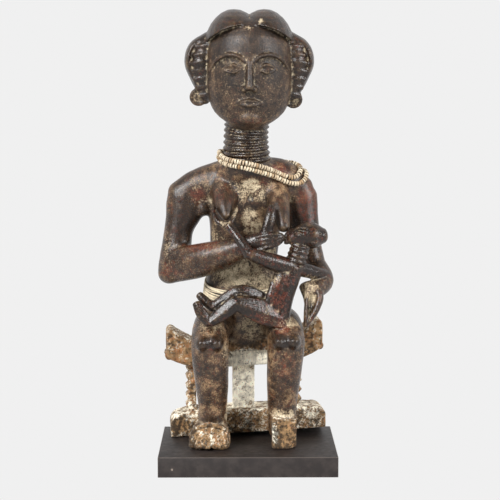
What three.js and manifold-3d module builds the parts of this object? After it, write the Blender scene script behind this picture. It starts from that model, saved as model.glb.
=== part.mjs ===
// A carved wooden maternity figure: a mother seated on a low stool nurses a child held across her lap.
// Two strands of disc beads lie round her neck, a band of thin strings lies round her hips, and the
// whole stands on a dark rectangular plinth. Millimetres, +Z up. The origin is the middle of the
// plinth's underside, +X is the viewer's right, and the figure faces -Y.
import * as THREE from "three";
import { mergeVertices } from "three/addons/utils/BufferGeometryUtils.js";
import Module from "manifold-3d";

const wasm = await Module();
wasm.setup();

// Driving dimensions of the plinth
const PLINTH_WIDTH = 215;
const PLINTH_DEPTH = 172;
const PLINTH_THICKNESS = 24.5;
const PLINTH_EDGE = 0.8;

// Driving dimensions of the carved figure. Its pose and proportions are written on a grid that is
// GRID_HEIGHT steps high from the soles to the top of the hair, so they are shares of its height.
const FIGURE_HEIGHT = 533;
const GRID_HEIGHT = 533;
const STEP = FIGURE_HEIGHT / GRID_HEIGHT;
const TOUCH_GAP = 0.3;
const FLOOR = PLINTH_THICKNESS + TOUCH_GAP;

// Driving dimensions of the stool, which is carved in one with the figure
const BASE_LENGTH = 194;
const BASE_DEPTH = 48;
const BASE_THICKNESS = 32;
const SEAT_LENGTH = 195;
const SEAT_DEPTH = 54;
const SEAT_THICKNESS = 23.5;
const SEAT_TOP = 109;
const HORN_RISE = 29;
const UNDERSIDE_RISE = 17;
const COLUMN_WIDTH = 25.5;
const COLUMN_DEPTH = 26;
const SUPPORT_THICKNESS = 8;
const SUPPORT_DEPTH = 30;
const SUPPORT_SPACING = 129;
const TOOTH_COUNT = 5;
const TOOTH_REACH = 5;
const BASE_LEAN = 1.7;
const BASE_CLIMB = 2.9;
const SEAT_LEAN = 3.2;
const STOOL_YAW = 4.5;
const STOOL_CENTRE_X = 1;
const SEAT_SHIFT = -4.5;
const STOOL_FRONT = 28;
const SEAT_OVERHANG = 7;

// Driving dimensions of the beads and the hip strings. A rib of a strand stands for a few thin discs.
const BEAD_DIAMETER = 6.4;
const BEAD_THICKNESS = 2.3;
const DISCS_PER_RIB = 3;
const BEAD_GROOVE = 0.8;
const BEAD_SIDES = 5;
const STRAND_GAP = 0.8;
const HIP_STRING_COUNT = 4;
const HIP_STRING_DIAMETER = 4.6;
const HIP_STRING_STEPS = 20;

const WOOD = { color: 0x35241b, roughness: 0.42, metalness: 0 };
const CREAM = { color: 0xcfc3a2, roughness: 0.7, metalness: 0 };
const STRING = { color: 0xb9a989, roughness: 0.8, metalness: 0 };
const BLACK = { color: 0x1b1917, roughness: 0.75, metalness: 0 };

const Y_AXIS = new THREE.Vector3(0, 1, 0);
const Z_AXIS = new THREE.Vector3(0, 0, 1);

// A point of the figure, given on its grid with z counted from its soles
function onGrid([x, y, z]) {
  return new THREE.Vector3(x * STEP, y * STEP, z * STEP + FLOOR);
}

// A closed geometry becomes a solid once its shared vertices are merged and its flat faces dropped.
function solid(geometry) {
  geometry.deleteAttribute("normal");
  geometry.deleteAttribute("uv");
  const merged = mergeVertices(geometry, 1e-4);
  const corners = Array.from(merged.index.array);
  const kept = [];
  for (let i = 0; i < corners.length; i += 3) {
    const [a, b, c] = corners.slice(i, i + 3);
    if (a !== b && b !== c && c !== a) kept.push(a, b, c);
  }
  const vertProperties = Float32Array.from(merged.attributes.position.array);
  const triVerts = Uint32Array.from(kept);
  return new wasm.Manifold(new wasm.Mesh({ numProp: 3, vertProperties, triVerts }));
}

function joined(pieces) {
  return pieces.reduce((sum, piece) => sum.add(piece));
}

// A geometry again, for a mesh of the finished model
function geometryOf(manifold) {
  const { numProp, vertProperties, triVerts } = manifold.getMesh();
  const geometry = new THREE.BufferGeometry();
  const points = new Float32Array((vertProperties.length / numProp) * 3);
  for (let i = 0; i < points.length / 3; i += 1) {
    points.set(vertProperties.subarray(i * numProp, i * numProp + 3), i * 3);
  }
  geometry.setAttribute("position", new THREE.BufferAttribute(points, 3));
  geometry.setIndex(new THREE.BufferAttribute(triVerts, 1));
  geometry.computeVertexNormals();
  return geometry;
}

function named(name, geometry, finish) {
  const mesh = new THREE.Mesh(geometry, new THREE.MeshStandardMaterial(finish));
  mesh.name = name;
  return mesh;
}

// A value between the stations' values at a share t of the way along them, with smooth slopes
function along(values, t) {
  const last = values.length - 1;
  const place = Math.min(t * last, last - 1e-9);
  const i = Math.floor(place);
  const f = place - i;
  const before = values[Math.max(i - 1, 0)];
  const after = values[Math.min(i + 2, last)];
  const [a, b] = [values[i], values[i + 1]];
  const slopeA = (b - before) / 2;
  const slopeB = (after - a) / 2;
  const f2 = f * f;
  const f3 = f2 * f;
  const level = a * (2 * f3 - 3 * f2 + 1) + b * (3 * f2 - 2 * f3);
  return level + slopeA * (f3 - 2 * f2 + f) + slopeB * (f3 - f2);
}

// A limb is a capsule led along a smooth line. Each station is [x, y, z, half width, half depth] on
// the grid. The depth is measured along depthAxis, made square to the line, and the width across both.
// Tips are rounded out by the share tip of the last half width. With rings, the limb swells that many
// times between its ends by the share swell.
function limb(stations, options = {}) {
  const { sides = 9, steps = 1, depthAxis = Y_AXIS, tip = 0.7, tipRows = 1 } = options;
  const { rings = 0, swell = 0 } = options;
  const line = new THREE.CatmullRomCurve3(stations.map((station) => onGrid(station)));
  const rows = rings > 0 ? rings * 2 : (stations.length - 1) * steps;
  const wides = stations.map((station) => station[3] * STEP);
  const deeps = stations.map((station) => station[4] * STEP);
  const body = new THREE.CapsuleGeometry(1, rows, tipRows, sides, rows);
  const spots = body.attributes.position;
  for (let i = 0; i < spots.count; i += 1) {
    const height = spots.getY(i) + rows / 2;
    const t = THREE.MathUtils.clamp(height / rows, 0, 1);
    const beyond = height - t * rows;
    const tangent = line.getTangent(t);
    const deepWay = depthAxis.clone().addScaledVector(tangent, -depthAxis.dot(tangent)).normalize();
    const wideWay = new THREE.Vector3().crossVectors(deepWay, tangent);
    const ringed = rings > 0 ? 1 + swell * Math.cos(Math.PI * Math.round(height)) : 1;
    const wide = along(wides, t) * ringed;
    const deep = along(deeps, t) * ringed;
    const spot = line.getPoint(t);
    spot.addScaledVector(wideWay, -spots.getX(i) * wide);
    spot.addScaledVector(deepWay, spots.getZ(i) * deep);
    spot.addScaledVector(tangent, beyond * tip * Math.min(wide, deep));
    spots.setXYZ(i, spot.x, spot.y, spot.z);
  }
  return solid(body);
}

// A rounded lump: a sphere stretched to three half sizes on the grid
function lump(centre, [wide, deep, high], { sides, rows }) {
  const ball = new THREE.SphereGeometry(1, sides, rows);
  ball.rotateX(Math.PI / 2);
  ball.scale(wide * STEP, deep * STEP, high * STEP);
  const spot = onGrid(centre);
  ball.translate(spot.x, spot.y, spot.z);
  return solid(ball);
}

// The part of a stretch of the front view that an outline bounds, pushed back from y to y + depth
function slab(shape, y, depth) {
  const block = new THREE.ExtrudeGeometry(shape, { depth, bevelEnabled: false, curveSegments: 6 });
  block.rotateX(Math.PI / 2);
  block.translate(0, y + depth, 0);
  return block;
}

function boxShape(left, right, low, high) {
  const shape = new THREE.Shape();
  shape.moveTo(left, low);
  shape.lineTo(right, low);
  shape.lineTo(right, high);
  shape.lineTo(left, high);
  return shape;
}

// The stool: base plank, middle column, two side supports with toothed outer edges, and a crescent
// seat whose ends rise as horns. It leans up to the right and its right end stands further back.
const CORNER = 9;
const HORN_CORNER = 7;

function basePlank() {
  const half = BASE_LENGTH / 2;
  const shape = new THREE.Shape();
  shape.moveTo(-half, -BASE_THICKNESS / 2);
  shape.lineTo(half, -BASE_THICKNESS / 2);
  shape.lineTo(half, BASE_THICKNESS - CORNER);
  shape.quadraticCurveTo(half, BASE_THICKNESS, half - CORNER, BASE_THICKNESS);
  shape.lineTo(-half + CORNER, BASE_THICKNESS);
  shape.quadraticCurveTo(-half, BASE_THICKNESS, -half, BASE_THICKNESS - CORNER);
  return slab(shape, 0, BASE_DEPTH);
}

// What is cut from under the base: its front edge climbs to the right while its back edge stays down.
function baseUnderside() {
  const climb = Math.tan(THREE.MathUtils.degToRad(BASE_CLIMB));
  const fall = (climb * BASE_LENGTH) / BASE_DEPTH;
  const block = new THREE.BoxGeometry(2 * BASE_LENGTH, 2 * BASE_LENGTH, BASE_THICKNESS);
  block.translate(0, 0, -BASE_THICKNESS / 2);
  block.applyMatrix4(new THREE.Matrix4().makeShear(0, climb, 0, -fall, 0, 0));
  block.translate(0, 0, (climb * BASE_LENGTH) / 2);
  return block;
}

function seatTopAt(x) {
  return SEAT_TOP + HORN_RISE * Math.abs(x / (SEAT_LENGTH / 2)) ** 2;
}

function seatUndersideAt(x) {
  return SEAT_TOP - SEAT_THICKNESS + UNDERSIDE_RISE * Math.abs(x / (SEAT_LENGTH / 2)) ** 4;
}

function crescentSeat() {
  const half = SEAT_LENGTH / 2;
  const spans = 12;
  const shape = new THREE.Shape();
  shape.moveTo(SEAT_SHIFT - half, seatUndersideAt(-half));
  for (let i = 1; i <= spans; i += 1) {
    const x = -half + (SEAT_LENGTH * i) / spans;
    shape.lineTo(SEAT_SHIFT + x, seatUndersideAt(x));
  }
  shape.lineTo(SEAT_SHIFT + half, seatTopAt(half) - HORN_CORNER);
  for (let i = 0; i <= spans; i += 1) {
    const x = (half - HORN_CORNER) * (1 - (2 * i) / spans);
    shape.lineTo(SEAT_SHIFT + x, seatTopAt(x));
  }
  shape.lineTo(SEAT_SHIFT - half, seatTopAt(half) - HORN_CORNER);
  return slab(shape, -SEAT_OVERHANG, SEAT_DEPTH);
}

function sideSupport(side) {
  const inner = SEAT_SHIFT + side * (SUPPORT_SPACING / 2 - SUPPORT_THICKNESS / 2);
  const outer = inner + side * SUPPORT_THICKNESS;
  const low = BASE_THICKNESS - SUPPORT_THICKNESS;
  const high = seatUndersideAt(SUPPORT_SPACING / 2) + SUPPORT_THICKNESS;
  const pitch = (high - low) / (TOOTH_COUNT + 1);
  const shape = new THREE.Shape();
  shape.moveTo(inner, low);
  shape.lineTo(outer, low);
  for (let i = 0; i < TOOTH_COUNT; i += 1) {
    shape.lineTo(outer, low + pitch * (i + 0.5));
    shape.lineTo(outer + side * TOOTH_REACH, low + pitch * (i + 1));
  }
  shape.lineTo(outer, high - pitch / 2);
  shape.lineTo(outer, high);
  shape.lineTo(inner, high);
  return slab(shape, (BASE_DEPTH - SUPPORT_DEPTH) / 2, SUPPORT_DEPTH);
}

function column() {
  const half = COLUMN_WIDTH / 2;
  const high = SEAT_TOP - SEAT_THICKNESS / 2;
  const shape = boxShape(SEAT_SHIFT - half, SEAT_SHIFT + half, BASE_THICKNESS / 2, high);
  return slab(shape, (BASE_DEPTH - COLUMN_DEPTH) / 2, COLUMN_DEPTH);
}

// A block of the stool, leaned up from the base's left end and turned into its place
function stoolPiece(block, degrees) {
  const lean = Math.tan(THREE.MathUtils.degToRad(degrees));
  block.applyMatrix4(new THREE.Matrix4().makeShear(0, lean, 0, 0, 0, 0));
  block.translate(0, 0, (lean * BASE_LENGTH) / 2);
  block.rotateZ(THREE.MathUtils.degToRad(STOOL_YAW));
  block.scale(STEP, STEP, STEP);
  block.translate(STOOL_CENTRE_X * STEP, STOOL_FRONT * STEP, FLOOR);
  return solid(block);
}

function stool() {
  const base = stoolPiece(basePlank(), BASE_LEAN).subtract(stoolPiece(baseUnderside(), 0));
  const upper = [crescentSeat(), column(), sideSupport(-1), sideSupport(1)];
  return joined([base, ...upper.map((block) => stoolPiece(block, SEAT_LEAN))]);
}

// The mother's trunk, from the seat to the shoulders
function trunk() {
  const belly = limb(
    [
      [-5, 38, 118, 40, 28],
      [-5, 37, 142, 46, 34],
      [-5, 34, 173, 49, 33],
      [-5, 33, 211, 41, 27],
      [-4, 33, 249, 41.5, 26],
      [-3, 32, 280, 46, 29],
      [-2, 32, 309, 55, 30],
      [-1, 27, 329, 51, 28],
      [-1, 19, 345, 34, 29],
      [-1, 17, 352, 27, 27],
    ],
    { sides: 12, tip: 0.3 },
  );
  const shoulders = limb(
    [
      [-88, 30, 304, 16, 15],
      [-66, 31, 315, 23, 19],
      [-46, 30, 321, 25, 21],
      [-2, 31, 323, 25, 23],
      [38, 30, 323, 25, 21],
      [53, 31, 314, 22, 20],
      [69, 30, 309, 18, 16],
    ],
    { sides: 10 },
  );
  return [belly, shoulders];
}

// The neck is cut into stacked rings.
const NECK_RINGS = 7;

function neck() {
  return limb(
    [
      [-1, 17, 347, 28.5, 27],
      [-1, 14, 374, 25, 24.5],
      [0, 12, 394, 25, 24.5],
    ],
    { sides: 10, rings: NECK_RINGS, swell: 0.045, tip: 0.2 },
  );
}

// The head's height runs from the chin to the crown. The face is laid out on the usual thirds: the
// brow, the base of the nose and the chin stand a third of the face's height apart below the hairline.
const HEAD_X = 2;
const CHIN = 393;
const HAIRLINE = 506;
const FACE_FRONT = -44;
const THIRD = (HAIRLINE - CHIN) / 3;
const BROW = HAIRLINE - THIRD;
const NOSE_BASE = BROW - THIRD;
const EYE_LINE = BROW - THIRD / 4;
const MOUTH_LINE = NOSE_BASE - THIRD / 3;
const EYE_OFFSET = 21;

function head() {
  const skull = limb(
    [
      [HEAD_X, 7, 398, 27, 28],
      [HEAD_X, 3, 409, 43, 39],
      [HEAD_X, 2, 432, 50.5, 44.5],
      [HEAD_X, 4, 462, 53, 48],
      [HEAD_X, 7, 490, 51, 49],
      [HEAD_X, 10, 509, 38, 41],
    ],
    { sides: 14, tip: 0.3 },
  );
  const nose = limb(
    [
      [HEAD_X, FACE_FRONT + 4, BROW + 2, 4.5, 6],
      [HEAD_X, FACE_FRONT - 1, (BROW + NOSE_BASE) / 2, 5, 6.5],
      [HEAD_X, FACE_FRONT - 2, NOSE_BASE + 4, 7, 8],
    ],
    { sides: 6, tip: 0.5 },
  );
  const crown = joined([crownLobe(-1), crownLobe(1)]).subtract(belowHairline());
  const pieces = [skull, nose, crown];
  for (const side of [-1, 1]) {
    pieces.push(browArch(side), eye(side), ear(side), sideBun(side));
  }
  pieces.push(lip(1.8), lip(-1.8));
  return pieces;
}

function browArch(side) {
  return limb(
    [
      [HEAD_X + side * 6, FACE_FRONT + 1, BROW + 2, 2.4, 3.5],
      [HEAD_X + side * 24, FACE_FRONT + 4, BROW + 6, 2.6, 4],
      [HEAD_X + side * 42, FACE_FRONT + 18, BROW - 1, 2, 4],
    ],
    { sides: 6 },
  );
}

function eye(side) {
  return lump([HEAD_X + side * EYE_OFFSET, FACE_FRONT + 6, EYE_LINE], [9, 4.5, 4.6], { sides: 8, rows: 6 });
}

function lip(rise) {
  return lump([HEAD_X, FACE_FRONT + 6, MOUTH_LINE + rise], [14, 6, 3.2], { sides: 8, rows: 6 });
}

function ear(side) {
  return lump([HEAD_X - 3 + side * 57.5, 12, 423.5 - side], [11, 9, 12.5], { sides: 8, rows: 6 });
}

// Rolls of hair stand out beside the head, each cut across with level ridges.
const BUN_RIDGES = 6;

function sideBun(side) {
  return limb(
    [
      [HEAD_X + side * 50, 14, 428, 8, 14],
      [HEAD_X + side * 57.5, 14, 449, 15, 22],
      [HEAD_X + side * 59, 15, 470, 20.5, 26],
      [HEAD_X + side * 54, 16, 487, 15, 23],
    ],
    { sides: 9, rings: BUN_RIDGES, swell: 0.035, tip: 0.9 },
  );
}

// The hair on the crown is two smooth lobes with a parting between them. In front it ends in a
// hairline that arches from the parting down to the temples and stands proud of the forehead.
const HAIRLINE_TOP = 517;
const HAIRLINE_FALL = 22;
const TEMPLE = 52;

function crownLobe(side) {
  return lump([HEAD_X + side * 15.5, 9, 485], [38.5, 55, 46.8], { sides: 12, rows: 8 });
}

function belowHairline() {
  const spans = 8;
  const shape = new THREE.Shape();
  shape.moveTo(HEAD_X - 2 * TEMPLE, CHIN);
  shape.lineTo(HEAD_X + 2 * TEMPLE, CHIN);
  for (let i = 0; i <= spans; i += 1) {
    const share = 1 - (2 * i) / spans;
    const z = HAIRLINE_TOP - HAIRLINE_FALL * Math.abs(share * 1.1) ** 1.6;
    shape.lineTo(HEAD_X + share * TEMPLE * 1.1, z);
  }
  const block = slab(shape, -2 * TEMPLE, 2 * TEMPLE - 8);
  block.scale(STEP, STEP, STEP);
  block.translate(0, 0, FLOOR);
  return solid(block);
}

// The mother's right arm, on the viewer's left, lies across the belly, and its hand lifts the breast.
function rightArm() {
  const upper = limb([
    [-77, 30, 304, 23, 18],
    [-78, 29, 287, 24, 18],
    [-85, 28, 264, 18.5, 18],
    [-88, 26, 244, 18.5, 18],
    [-90.5, 21, 217, 20.5, 18],
  ]);
  const forearm = limb([
    [-91, 19, 219, 20.5, 18],
    [-59, -2, 227, 20.5, 18],
    [-28, -16, 236, 17.5, 16],
    [-6, -26, 245, 13.5, 12],
  ]);
  const palm = limb(
    [
      [-8, -26, 245, 12, 11],
      [9, -32, 252, 12, 9],
      [24, -35, 256, 9, 8],
      [38, -36, 260, 6, 6],
    ],
    { sides: 8 },
  );
  const thumb = limb(
    [
      [15, -33, 255, 6, 5],
      [21, -34, 273, 6.5, 5],
      [25, -31, 289, 5.4, 4.5],
      [28, -27, 297, 3.5, 3.5],
    ],
    { sides: 8 },
  );
  return [upper, forearm, palm, thumb];
}

// The mother's left arm comes forward past the child, and its hand hangs as a pointed open loop.
function leftArm() {
  const upper = limb([
    [66, 29, 304, 20, 16],
    [70, 27, 276, 17.5, 16],
    [76, 24, 243, 15.5, 17],
    [86, 18, 216, 16, 17],
  ]);
  const forearm = limb(
    [
      [89, 16, 216, 15, 16],
      [92, 4, 201, 14, 15],
      [85, -10, 193, 12, 13],
      [78, -20, 191, 9, 10],
    ],
    { sides: 8 },
  );
  const fingers = limb(
    [
      [84, -17, 194, 7, 9],
      [87, -25, 182, 5.2, 7],
      [81, -30, 166, 4.5, 6],
      [70, -34, 150, 3.2, 5],
    ],
    { sides: 6 },
  );
  const thumb = limb(
    [
      [76, -18, 194, 6, 8],
      [72.5, -26, 182, 3, 6],
      [71, -32, 166, 3, 6],
      [70, -34, 150, 3, 5],
    ],
    { sides: 6 },
  );
  return [upper, forearm, fingers, thumb];
}

function breasts() {
  const right = limb(
    [
      [-29, 10, 308, 15, 12],
      [-28, -8, 295, 13, 12],
      [-26, -22, 283, 6.5, 7],
    ],
    { sides: 8 },
  );
  const left = limb(
    [
      [32, 10, 308, 15, 12],
      [37, -8, 293, 11.5, 12],
      [41, -24, 275, 6.5, 7],
    ],
    { sides: 8 },
  );
  return [right, left];
}

// Both legs come forward from the seat and drop straight from round, double-knobbed knees.
const KNEE_DROP = 117;

function leg(side, kneeX, kneeZ, ankleX) {
  const bentX = (share) => kneeX + (ankleX - kneeX) * share;
  const thigh = limb(
    [
      [side * 32, 32, 147, 27, 22],
      [kneeX - side * 3, -8, 146, 23.5, 22],
      [kneeX, -34, kneeZ + 2, 23.2, 22],
    ],
    { sides: 12, depthAxis: Z_AXIS, tip: 0.4 },
  );
  const shin = limb(
    [
      [kneeX, -35, kneeZ + 1, 23.4, 22],
      [bentX(0.3), -34, kneeZ - 23, 22.2, 22],
      [bentX(0.7), -28, kneeZ - 49, 19.5, 19],
      [ankleX, -22, kneeZ - 76, 16.5, 16],
      [ankleX, -17, kneeZ - KNEE_DROP, 15.5, 15],
    ],
    { sides: 12, tip: 0.4 },
  );
  const knobs = [-8, 7].map((shift) => {
    return lump([kneeX + shift, -50, kneeZ - 2], [9, 8, 9], { sides: 6, rows: 6 });
  });
  return [thigh, shin, ...knobs];
}

// The foot on the viewer's left is whole and broad. The toes of the other are broken off, and the
// stump that is left ends in a slanting rough face.
const TOE_COUNT = 5;

function wholeFoot() {
  const sole = limb(
    [
      [-44, 14, 14, 15, 13],
      [-44, -8, 17, 19, 16],
      [-45.5, -30, 14, 26, 13],
      [-45.5, -43, 10, 25.5, 10],
    ],
    { sides: 12, depthAxis: Z_AXIS, tip: 0.6 },
  );
  const toes = [];
  for (let i = 0; i < TOE_COUNT; i += 1) {
    const spread = i / (TOE_COUNT - 1) - 0.5;
    const x = -45.5 + spread * 41;
    const back = spread ** 2 * 22;
    toes.push(lump([x, -44 + back, 11], [6.2, 13.5, 13], { sides: 6, rows: 6 }));
  }
  return [sole, ...toes];
}

const STUMP_OUTLINE = [
  [33, -2],
  [57, 6],
  [59, 30],
  [48, 38],
  [34, 34],
  [30, 24],
];

function brokenFoot() {
  const shape = new THREE.Shape(STUMP_OUTLINE.map(([x, z]) => new THREE.Vector2(x, z)));
  const block = slab(shape, -44, 62);
  const cutter = new THREE.BoxGeometry(120, 60, 120);
  cutter.translate(0, -30, 0);
  cutter.rotateX(THREE.MathUtils.degToRad(-7));
  cutter.rotateZ(THREE.MathUtils.degToRad(14));
  cutter.translate(44, -37, 12);
  for (const piece of [block, cutter]) {
    piece.scale(STEP, STEP, STEP);
    piece.translate(0, 0, FLOOR);
  }
  return solid(block).subtract(solid(cutter));
}

// The child lies across the lap, its head thrown back to the mother's left breast.
function childTrunk() {
  const chest = limb(
    [
      [53, -30, 221, 12, 13],
      [46, -33, 203, 12.5, 13],
      [40, -35, 181, 12, 14],
      [37, -36, 155, 12, 16],
    ],
    { sides: 8, tip: 0.4 },
  );
  const hip = limb(
    [
      [33, -44, 208, 4.5, 5],
      [26, -48, 188, 5, 6],
      [22, -47, 171, 4.5, 6],
    ],
    { sides: 6 },
  );
  return [chest, hip];
}

const CHILD_NECK_RINGS = 4;

function childHead() {
  const ringedNeck = limb(
    [
      [58, -31, 227, 12, 11],
      [61, -32, 238, 11.5, 11],
      [64, -32, 249, 10.5, 10],
    ],
    { sides: 8, rings: CHILD_NECK_RINGS, swell: 0.06, tip: 0.2 },
  );
  const skull = limb(
    [
      [46, -32, 260, 5.5, 6.5],
      [55, -32, 260, 11, 11],
      [68, -31, 260, 15, 15],
      [81, -30, 259, 15.5, 15.5],
      [91, -29, 259, 9.5, 10],
    ],
    { sides: 10, tip: 0.5 },
  );
  const brow = lump([62, -36, 271], [9, 9, 3.5], { sides: 6, rows: 6 });
  const childEar = lump([79, -44, 252], [4, 3.5, 4], { sides: 6, rows: 4 });
  return [ringedNeck, skull, brow, childEar];
}

function childArms() {
  const upper = limb(
    [
      [54, -33, 221, 9.5, 9],
      [33, -41, 227, 11, 10],
      [17, -46, 233, 9.5, 9],
      [3, -50, 239, 7.5, 8],
    ],
    { sides: 8 },
  );
  const fore = limb(
    [
      [2, -50, 238, 7, 7.5],
      [-9, -45, 254, 6, 7],
      [-23, -35, 272, 4.8, 6],
    ],
    { sides: 8 },
  );
  const fingers = limb(
    [
      [-22, -35, 271, 3.4, 4.5],
      [-36, -29, 276, 3, 4.5],
      [-41, -22, 286, 2.4, 4],
      [-41, -15, 292, 1.8, 3],
    ],
    { sides: 6 },
  );
  const thumb = limb(
    [
      [-22, -35, 271, 3.2, 4.5],
      [-17, -30, 281, 2.8, 4],
      [-13, -22, 291, 2, 3.5],
    ],
    { sides: 6 },
  );
  const farArm = limb(
    [
      [54, -30, 221, 8.5, 9],
      [71, -20, 217, 8, 8],
      [88, -8, 212, 7.5, 8],
      [97, 3, 209, 7.5, 8],
    ],
    { sides: 8 },
  );
  return [upper, fore, fingers, thumb, farArm];
}

function childLegs() {
  const nearThigh = limb(
    [
      [37, -38, 161, 13, 14],
      [17, -44, 170, 13.5, 12],
      [-1, -49, 178, 11.5, 11],
      [-14, -52, 182, 9.5, 10],
    ],
    { sides: 8 },
  );
  const nearShin = limb(
    [
      [-15, -52, 181, 9, 9],
      [-29, -53, 169, 8.6, 9],
      [-45, -53, 157, 6, 8],
    ],
    { sides: 8 },
  );
  const nearFoot = limb(
    [
      [-47, -53, 157, 5.5, 7.5],
      [-55, -53, 167, 7, 7],
      [-61, -51, 178, 4.5, 5],
    ],
    { sides: 6 },
  );
  const farThigh = limb(
    [
      [26, -30, 172, 12, 12],
      [9, -37, 188, 8.5, 9],
      [-6, -41, 195, 7, 8],
      [-15, -42, 194, 6, 8],
    ],
    { sides: 8 },
  );
  const farShin = limb(
    [
      [-14, -42, 194, 6, 7],
      [-29, -43, 185, 5.4, 7],
      [-44, -44, 174, 5, 7],
    ],
    { sides: 6 },
  );
  const farFoot = limb(
    [
      [-44, -44, 174, 4.8, 7],
      [-53, -43, 183, 6, 7],
      [-60, -42, 188, 4, 5],
    ],
    { sides: 6 },
  );
  return [nearThigh, nearShin, nearFoot, farThigh, farShin, farFoot];
}

// Everything carved from the one block, cut off flat where it meets the plinth
function figure() {
  const pieces = [
    stool(),
    ...trunk(),
    neck(),
    ...head(),
    ...rightArm(),
    ...leftArm(),
    ...breasts(),
    ...leg(-1, -46.3, 129, -42.5),
    ...leg(1, 46.5, 131, 44.5),
    ...wholeFoot(),
    brokenFoot(),
    ...childTrunk(),
    ...childHead(),
    ...childArms(),
    ...childLegs(),
  ];
  const reach = 2 * FIGURE_HEIGHT;
  const below = new THREE.BoxGeometry(reach, reach, reach);
  below.translate(0, 0, FLOOR - reach / 2);
  return joined(pieces).subtract(solid(below));
}

// The place on a surface that is nearest a point, and the way the surface faces there
function nearestOn(surface, point) {
  const spots = surface.attributes.position;
  const index = surface.index;
  const face = new THREE.Triangle();
  const spot = new THREE.Vector3();
  const nearest = { spot: new THREE.Vector3(), facing: new THREE.Vector3() };
  let best = Infinity;
  for (let i = 0; i < index.count; i += 3) {
    face.setFromAttributeAndIndices(spots, index.getX(i), index.getX(i + 1), index.getX(i + 2));
    face.closestPointToPoint(point, spot);
    const gap = spot.distanceToSquared(point);
    if (gap < best) {
      best = gap;
      nearest.spot.copy(spot);
      face.getNormal(nearest.facing);
    }
  }
  return nearest;
}

// A point inside a surface, or closer to it than a distance, is moved straight out to that distance.
function clearOf(surface, point, distance) {
  const { spot, facing } = nearestOn(surface, point);
  const away = point.clone().sub(spot);
  const outside = away.dot(facing) >= 0;
  if (outside && away.length() >= distance) return point;
  return spot.addScaledVector(outside ? away.normalize() : facing, distance);
}

// A closed line through rough points, evenly stepped, drawn smooth and kept clear of all surfaces given
const SMOOTHINGS = 3;

function laidLine(surfaces, rough, steps, distance) {
  const cleared = (spot) => surfaces.reduce((laid, surface) => clearOf(surface, laid, distance), spot);
  const line = new THREE.CatmullRomCurve3(rough, true, "centripetal");
  let spots = line.getSpacedPoints(steps).slice(0, steps).map(cleared);
  for (let pass = 0; pass < SMOOTHINGS; pass += 1) {
    const drawn = spots.map((spot, i) => {
      const middle = spots[(i + 1) % steps].clone().add(spots[(i + steps - 1) % steps]).multiplyScalar(0.5);
      return middle.lerp(spot, 0.5);
    });
    spots = drawn.map(cleared);
  }
  return spots;
}

// A closed tube of count rings with a number of corners each. cornerAt(i, j) places corner j of ring i.
// Rings run anticlockwise seen from above, and corners run outwards, up, inwards and down.
function closedTube(count, sides, cornerAt) {
  const tube = new THREE.TorusGeometry(1, 0.5, sides, count);
  const corners = tube.attributes.position;
  for (let j = 0; j <= sides; j += 1) {
    for (let i = 0; i <= count; i += 1) {
      const corner = cornerAt(i % count, j % sides);
      corners.setXYZ(j * (count + 1) + i, corner.x, corner.y, corner.z);
    }
  }
  return solid(tube);
}

// The bead strands hang lopsided: tight at the right of the neck, over the left shoulder and up
// behind. The upper strand is the shorter loop, and the lower one lies outside it.
const UPPER_STRAND = [
  [-36, 18, 359],
  [-31, 2, 352],
  [-22, -9, 349],
  [-10, -17, 347.5],
  [3, -18, 345],
  [16, -12, 341.5],
  [30, -1, 337],
  [41, 6, 332.5],
  [53, 10, 327.5],
  [60, 14, 327.5],
  [62, 25, 332],
  [57, 35, 337],
  [47, 42, 341],
  [34, 46, 344],
  [14, 48, 347],
  [-10, 48, 352],
  [-28, 37, 358],
];
const LOWER_STRAND = [
  [-38, 22, 352.5],
  [-35, 7, 345.5],
  [-22, -9, 342.5],
  [-10, -14, 340.5],
  [3, -14, 337],
  [16, -8, 333],
  [30, 0, 329],
  [41, 3.5, 323.5],
  [53, 6, 318.5],
  [64, 9, 318.5],
  [70, 16, 323],
  [70.5, 27, 328],
  [65.5, 38, 333],
  [57, 46, 338],
  [46, 51, 340],
  [32, 54, 342],
  [8, 55, 345],
  [-14, 53, 348],
  [-31, 40, 352],
];

function strandLine(surfaces, route) {
  const rough = route.map((spot) => onGrid(spot));
  const length = new THREE.CatmullRomCurve3(rough, true, "centripetal").getLength();
  const steps = 2 * Math.round(length / (BEAD_THICKNESS * DISCS_PER_RIB));
  return laidLine(surfaces, rough, steps, BEAD_DIAMETER / 2 + STRAND_GAP);
}

function beadStrand(line) {
  const count = line.length;
  return closedTube(count, BEAD_SIDES, (i, j) => {
    const forward = line[(i + 1) % count].clone().sub(line[(i + count - 1) % count]).normalize();
    const up = Z_AXIS.clone().addScaledVector(forward, -Z_AXIS.dot(forward)).normalize();
    const across = new THREE.Vector3().crossVectors(forward, up);
    const radius = (BEAD_DIAMETER / 2) * (i % 2 === 0 ? 1 : BEAD_GROOVE);
    const angle = (j / BEAD_SIDES) * 2 * Math.PI;
    const corner = line[i].clone().addScaledVector(across, radius * Math.cos(angle));
    return corner.addScaledVector(up, radius * Math.sin(angle));
  });
}

// The hip strings lie one above the other round the hips as one band, flat inside and ribbed outside.
// The band is high behind and dips under the belly in front.
const HIP_MIDDLE = [-5, 34];
const HIP_LEVEL = 188;
const HIP_DIP = 20;
const HIP_DEPTH = 33;

// How far a level ray from inside a surface runs before it leaves it
function reachInside(surface, start, angle) {
  const spots = surface.attributes.position;
  const index = surface.index;
  const ray = new THREE.Ray(start, new THREE.Vector3(Math.cos(angle), Math.sin(angle), 0));
  const face = new THREE.Triangle();
  const spot = new THREE.Vector3();
  let best = Infinity;
  for (let i = 0; i < index.count; i += 3) {
    face.setFromAttributeAndIndices(spots, index.getX(i), index.getX(i + 1), index.getX(i + 2));
    if (ray.intersectTriangle(face.a, face.b, face.c, false, spot)) {
      best = Math.min(best, start.distanceTo(spot));
    }
  }
  return best;
}

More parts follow.
